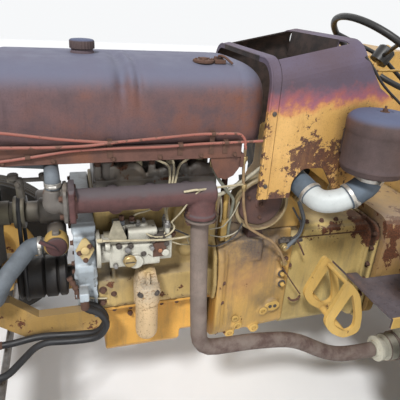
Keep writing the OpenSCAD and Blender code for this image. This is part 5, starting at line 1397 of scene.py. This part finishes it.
def build_seat():
    pan = Shape().turned([(0, 36), (6, 42), (8, 36), (44, 35), (58, 35)], (-1120, 0, 872), UP, 36)
    pan.plate([
        (-1290, -170), (-1270, -190), (-970, -190), (-950, -170),
        (-950, 170), (-970, 190), (-1270, 190), (-1290, 170),
    ], "Z", 930, 944, 3)
    outline = [(-180, 950), (180, 950), (188, 1150), (160, 1176), (-160, 1176), (-188, 1150)]
    pan.plate(outline, "X", -1330, -1322, 2)
    pan.make("seat_pan", black_iron, "seat")
    bottom = cushion_mesh("seat_cushion", (-1308, -205, 945), (-940, 205, 978))
    cushion = piece("seat_cushion", bottom, seat_vinyl, "seat")
    # The back's pad is made lying at the origin, then stood up behind the seat
    back = cushion_mesh("seat_back", (-100, -205, 0), (92, 205, 30))
    back.transform(Matrix.Translation((-ENGINE_X / 1000, 0, 0)))
    back.transform(Matrix(((0, 0, 1, REST_X), (0, 1, 0, 0), (-1, 0, 0, REST_Z), (0, 0, 0, 1))))
    rest = piece("seat_back", back, seat_vinyl, "seat")
    for pad in (cushion, rest):
        swell(pad)
        for face in pad.data.polygons:
            face.use_smooth = True
        if not pad.data.materials:
            pad.data.materials.append(seat_vinyl)


PLATE_TOP = 570
PLATE_EDGE = 422
MUFFLER_Y = 330
MUFFLER_Z = 340
STUD_ROWS = 11
STUD_STEP = 34


def build_footplates():
    studs = Shape()
    for side in (-1, 1):
        for i in range(STUD_ROWS):
            for j in range(5):
                place = (-580 - STUD_STEP * i, (234 + 40 * j + (20 if i % 2 else 0)) * side, PLATE_TOP)
                if abs(place[1]) < PLATE_EDGE:
                    studs.turned([(-1, 7), (0.4, 7), (2.2, 5.6), (2.2, 3.2), (0.6, 2.4)], place, UP, 20)
    studs.make("footplate_studs", plate_paint)
    lips = Shape().blocks(*(((-958, 424 * side, 530), (-550, 431.5 * side, 571), 2) for side in (-1, 1)))
    lips.make("footplate_lips", strip_yellow)
    bands = Shape().ring_band((-695, MUFFLER_Y, MUFFLER_Z), FORWARD, 52.5, 26, 4, 56)
    for x in (-650, -900, -1140):
        bands.ring_band((x, MUFFLER_Y, MUFFLER_Z), FORWARD, 50.2, 5, 3, 56)
    bands.make("muffler_bands", downpipe_rust)


REAR_AXLE_X = -1110
REAR_AXLE_Z = 620
SIDEWALL_Y = 872
COLUMN_LEAN = math.radians(-36)


def build_wheels():
    for side, word in ((1, "left"), (-1, "right")):
        ring = Shape().ring_band((REAR_AXLE_X, SIDEWALL_Y * side, REAR_AXLE_Z), LEFT, 430, 3, 5, 96)
        ring.make("rear_sidewall_ring_" + word, tyre_rubber, body="rear_wheel_" + word)
    axis = (math.sin(COLUMN_LEAN), 0, math.cos(COLUMN_LEAN))
    cap = Shape().turned([(20, 31), (26, 31), (31, 26), (34, 12), (34.5, 2)], (-615, 0, 1350), axis, 48)
    cap.make("wheel_cap", wheel_black, body="steering_wheel")


# Floor, lights and camera

FLOOR_REACH = 14
# Each lamp's direction, strength and width in degrees
LAMPS = {
    "key": ((-0.50, -0.72, -1.0), 2.9, 9),
    "fill": ((0.5, -1.0, -0.30), 0.55, 50),
    "back": ((0.2, 1.0, -0.7), 0.5, 50),
}


def build_stage():
    data = bpy.data.meshes.new("floor")
    r = FLOOR_REACH
    data.from_pydata([(-r, -r, 0), (r, -r, 0), (r, r, 0), (-r, r, 0)], [], [(0, 1, 2, 3)])
    floor = bpy.data.objects.new("floor", data)
    scene.collection.objects.link(floor)
    f = Finish("studio_floor", 0.0, 0.2)
    data.materials.append(f.close(f.tones(f.noise(3.0, 3, 0.5), (0.78, 0.78, 0.78), (0.82, 0.82, 0.82)), 0.9))
    world = bpy.data.worlds.new("studio")
    scene.world = world
    world.use_nodes = True
    tree = world.node_tree
    light = tree.nodes["Background"]
    light.inputs["Color"].default_value = (0.93, 0.96, 1.0, 1)
    light.inputs["Strength"].default_value = 0.45
    seen = tree.nodes.new("ShaderNodeBackground")
    seen.inputs["Color"].default_value = (0.93, 0.94, 0.95, 1)
    seen.inputs["Strength"].default_value = 1.0
    path = tree.nodes.new("ShaderNodeLightPath")
    choice = tree.nodes.new("ShaderNodeMixShader")
    seen_by = path.outputs["Is Camera Ray"]
    for ray in ("Is Glossy Ray", "Is Transmission Ray"):
        either = tree.nodes.new("ShaderNodeMath")
        either.operation = 'MAXIMUM'
        tree.links.new(seen_by, either.inputs[0])
        tree.links.new(path.outputs[ray], either.inputs[1])
        seen_by = either.outputs[0]
    for i, output in enumerate((seen_by, light.outputs[0], seen.outputs[0])):
        tree.links.new(output, choice.inputs[i])
    tree.links.new(choice.outputs[0], tree.nodes["World Output"].inputs["Surface"])
    for name, (direction, strength, width) in LAMPS.items():
        lamp = bpy.data.lights.new(name, 'SUN')
        lamp.energy = strength
        lamp.angle = math.radians(width)
        holder = bpy.data.objects.new(name, lamp)
        scene.collection.objects.link(holder)
        holder.rotation_euler = Vector(direction).to_track_quat('-Z', 'Y').to_euler()


# The camera's place in metres, its turns, and the lens fitted to the photograph's vanishing lines
CAMERA_PLACE = Vector((0.700, 1.35, 1.5))
CAMERA_YAW = math.radians(17.5)
CAMERA_PITCH = math.radians(24.7)
CAMERA_ROLL = math.radians(3.6)
FOCAL_PIXELS = 440
PICTURE_PIXELS = 400
SENSOR = 36.0


def build_camera():
    flat = math.cos(CAMERA_PITCH)
    forward = Vector((-math.sin(CAMERA_YAW) * flat, -math.cos(CAMERA_YAW) * flat, -math.sin(CAMERA_PITCH)))
    level = Vector((-math.cos(CAMERA_YAW), math.sin(CAMERA_YAW), 0))
    upward = level.cross(forward)
    right = math.cos(CAMERA_ROLL) * level + math.sin(CAMERA_ROLL) * upward
    top = -math.sin(CAMERA_ROLL) * level + math.cos(CAMERA_ROLL) * upward
    lens = bpy.data.cameras.new("camera")
    lens.sensor_width = SENSOR
    lens.sensor_fit = 'HORIZONTAL'
    lens.lens = SENSOR * FOCAL_PIXELS / PICTURE_PIXELS
    lens.clip_start = 0.01
    holder = bpy.data.objects.new("camera", lens)
    scene.collection.objects.link(holder)
    turn = Matrix((right, top, -forward)).transposed().to_4x4()
    holder.matrix_world = Matrix.Translation(CAMERA_PLACE) @ turn
    scene.camera = holder


for build in (
    build_camera, build_stage, paint_nodes, build_tank, build_pipes, build_engine, build_manifold, build_pump,
    build_timing_cover, build_filter, build_front, build_radiator, build_cowl, build_intake, build_drum,
    build_transmission, build_wires, build_seat, build_footplates, build_wheels,
):
    build()
scene.view_settings.view_transform = 'Standard'
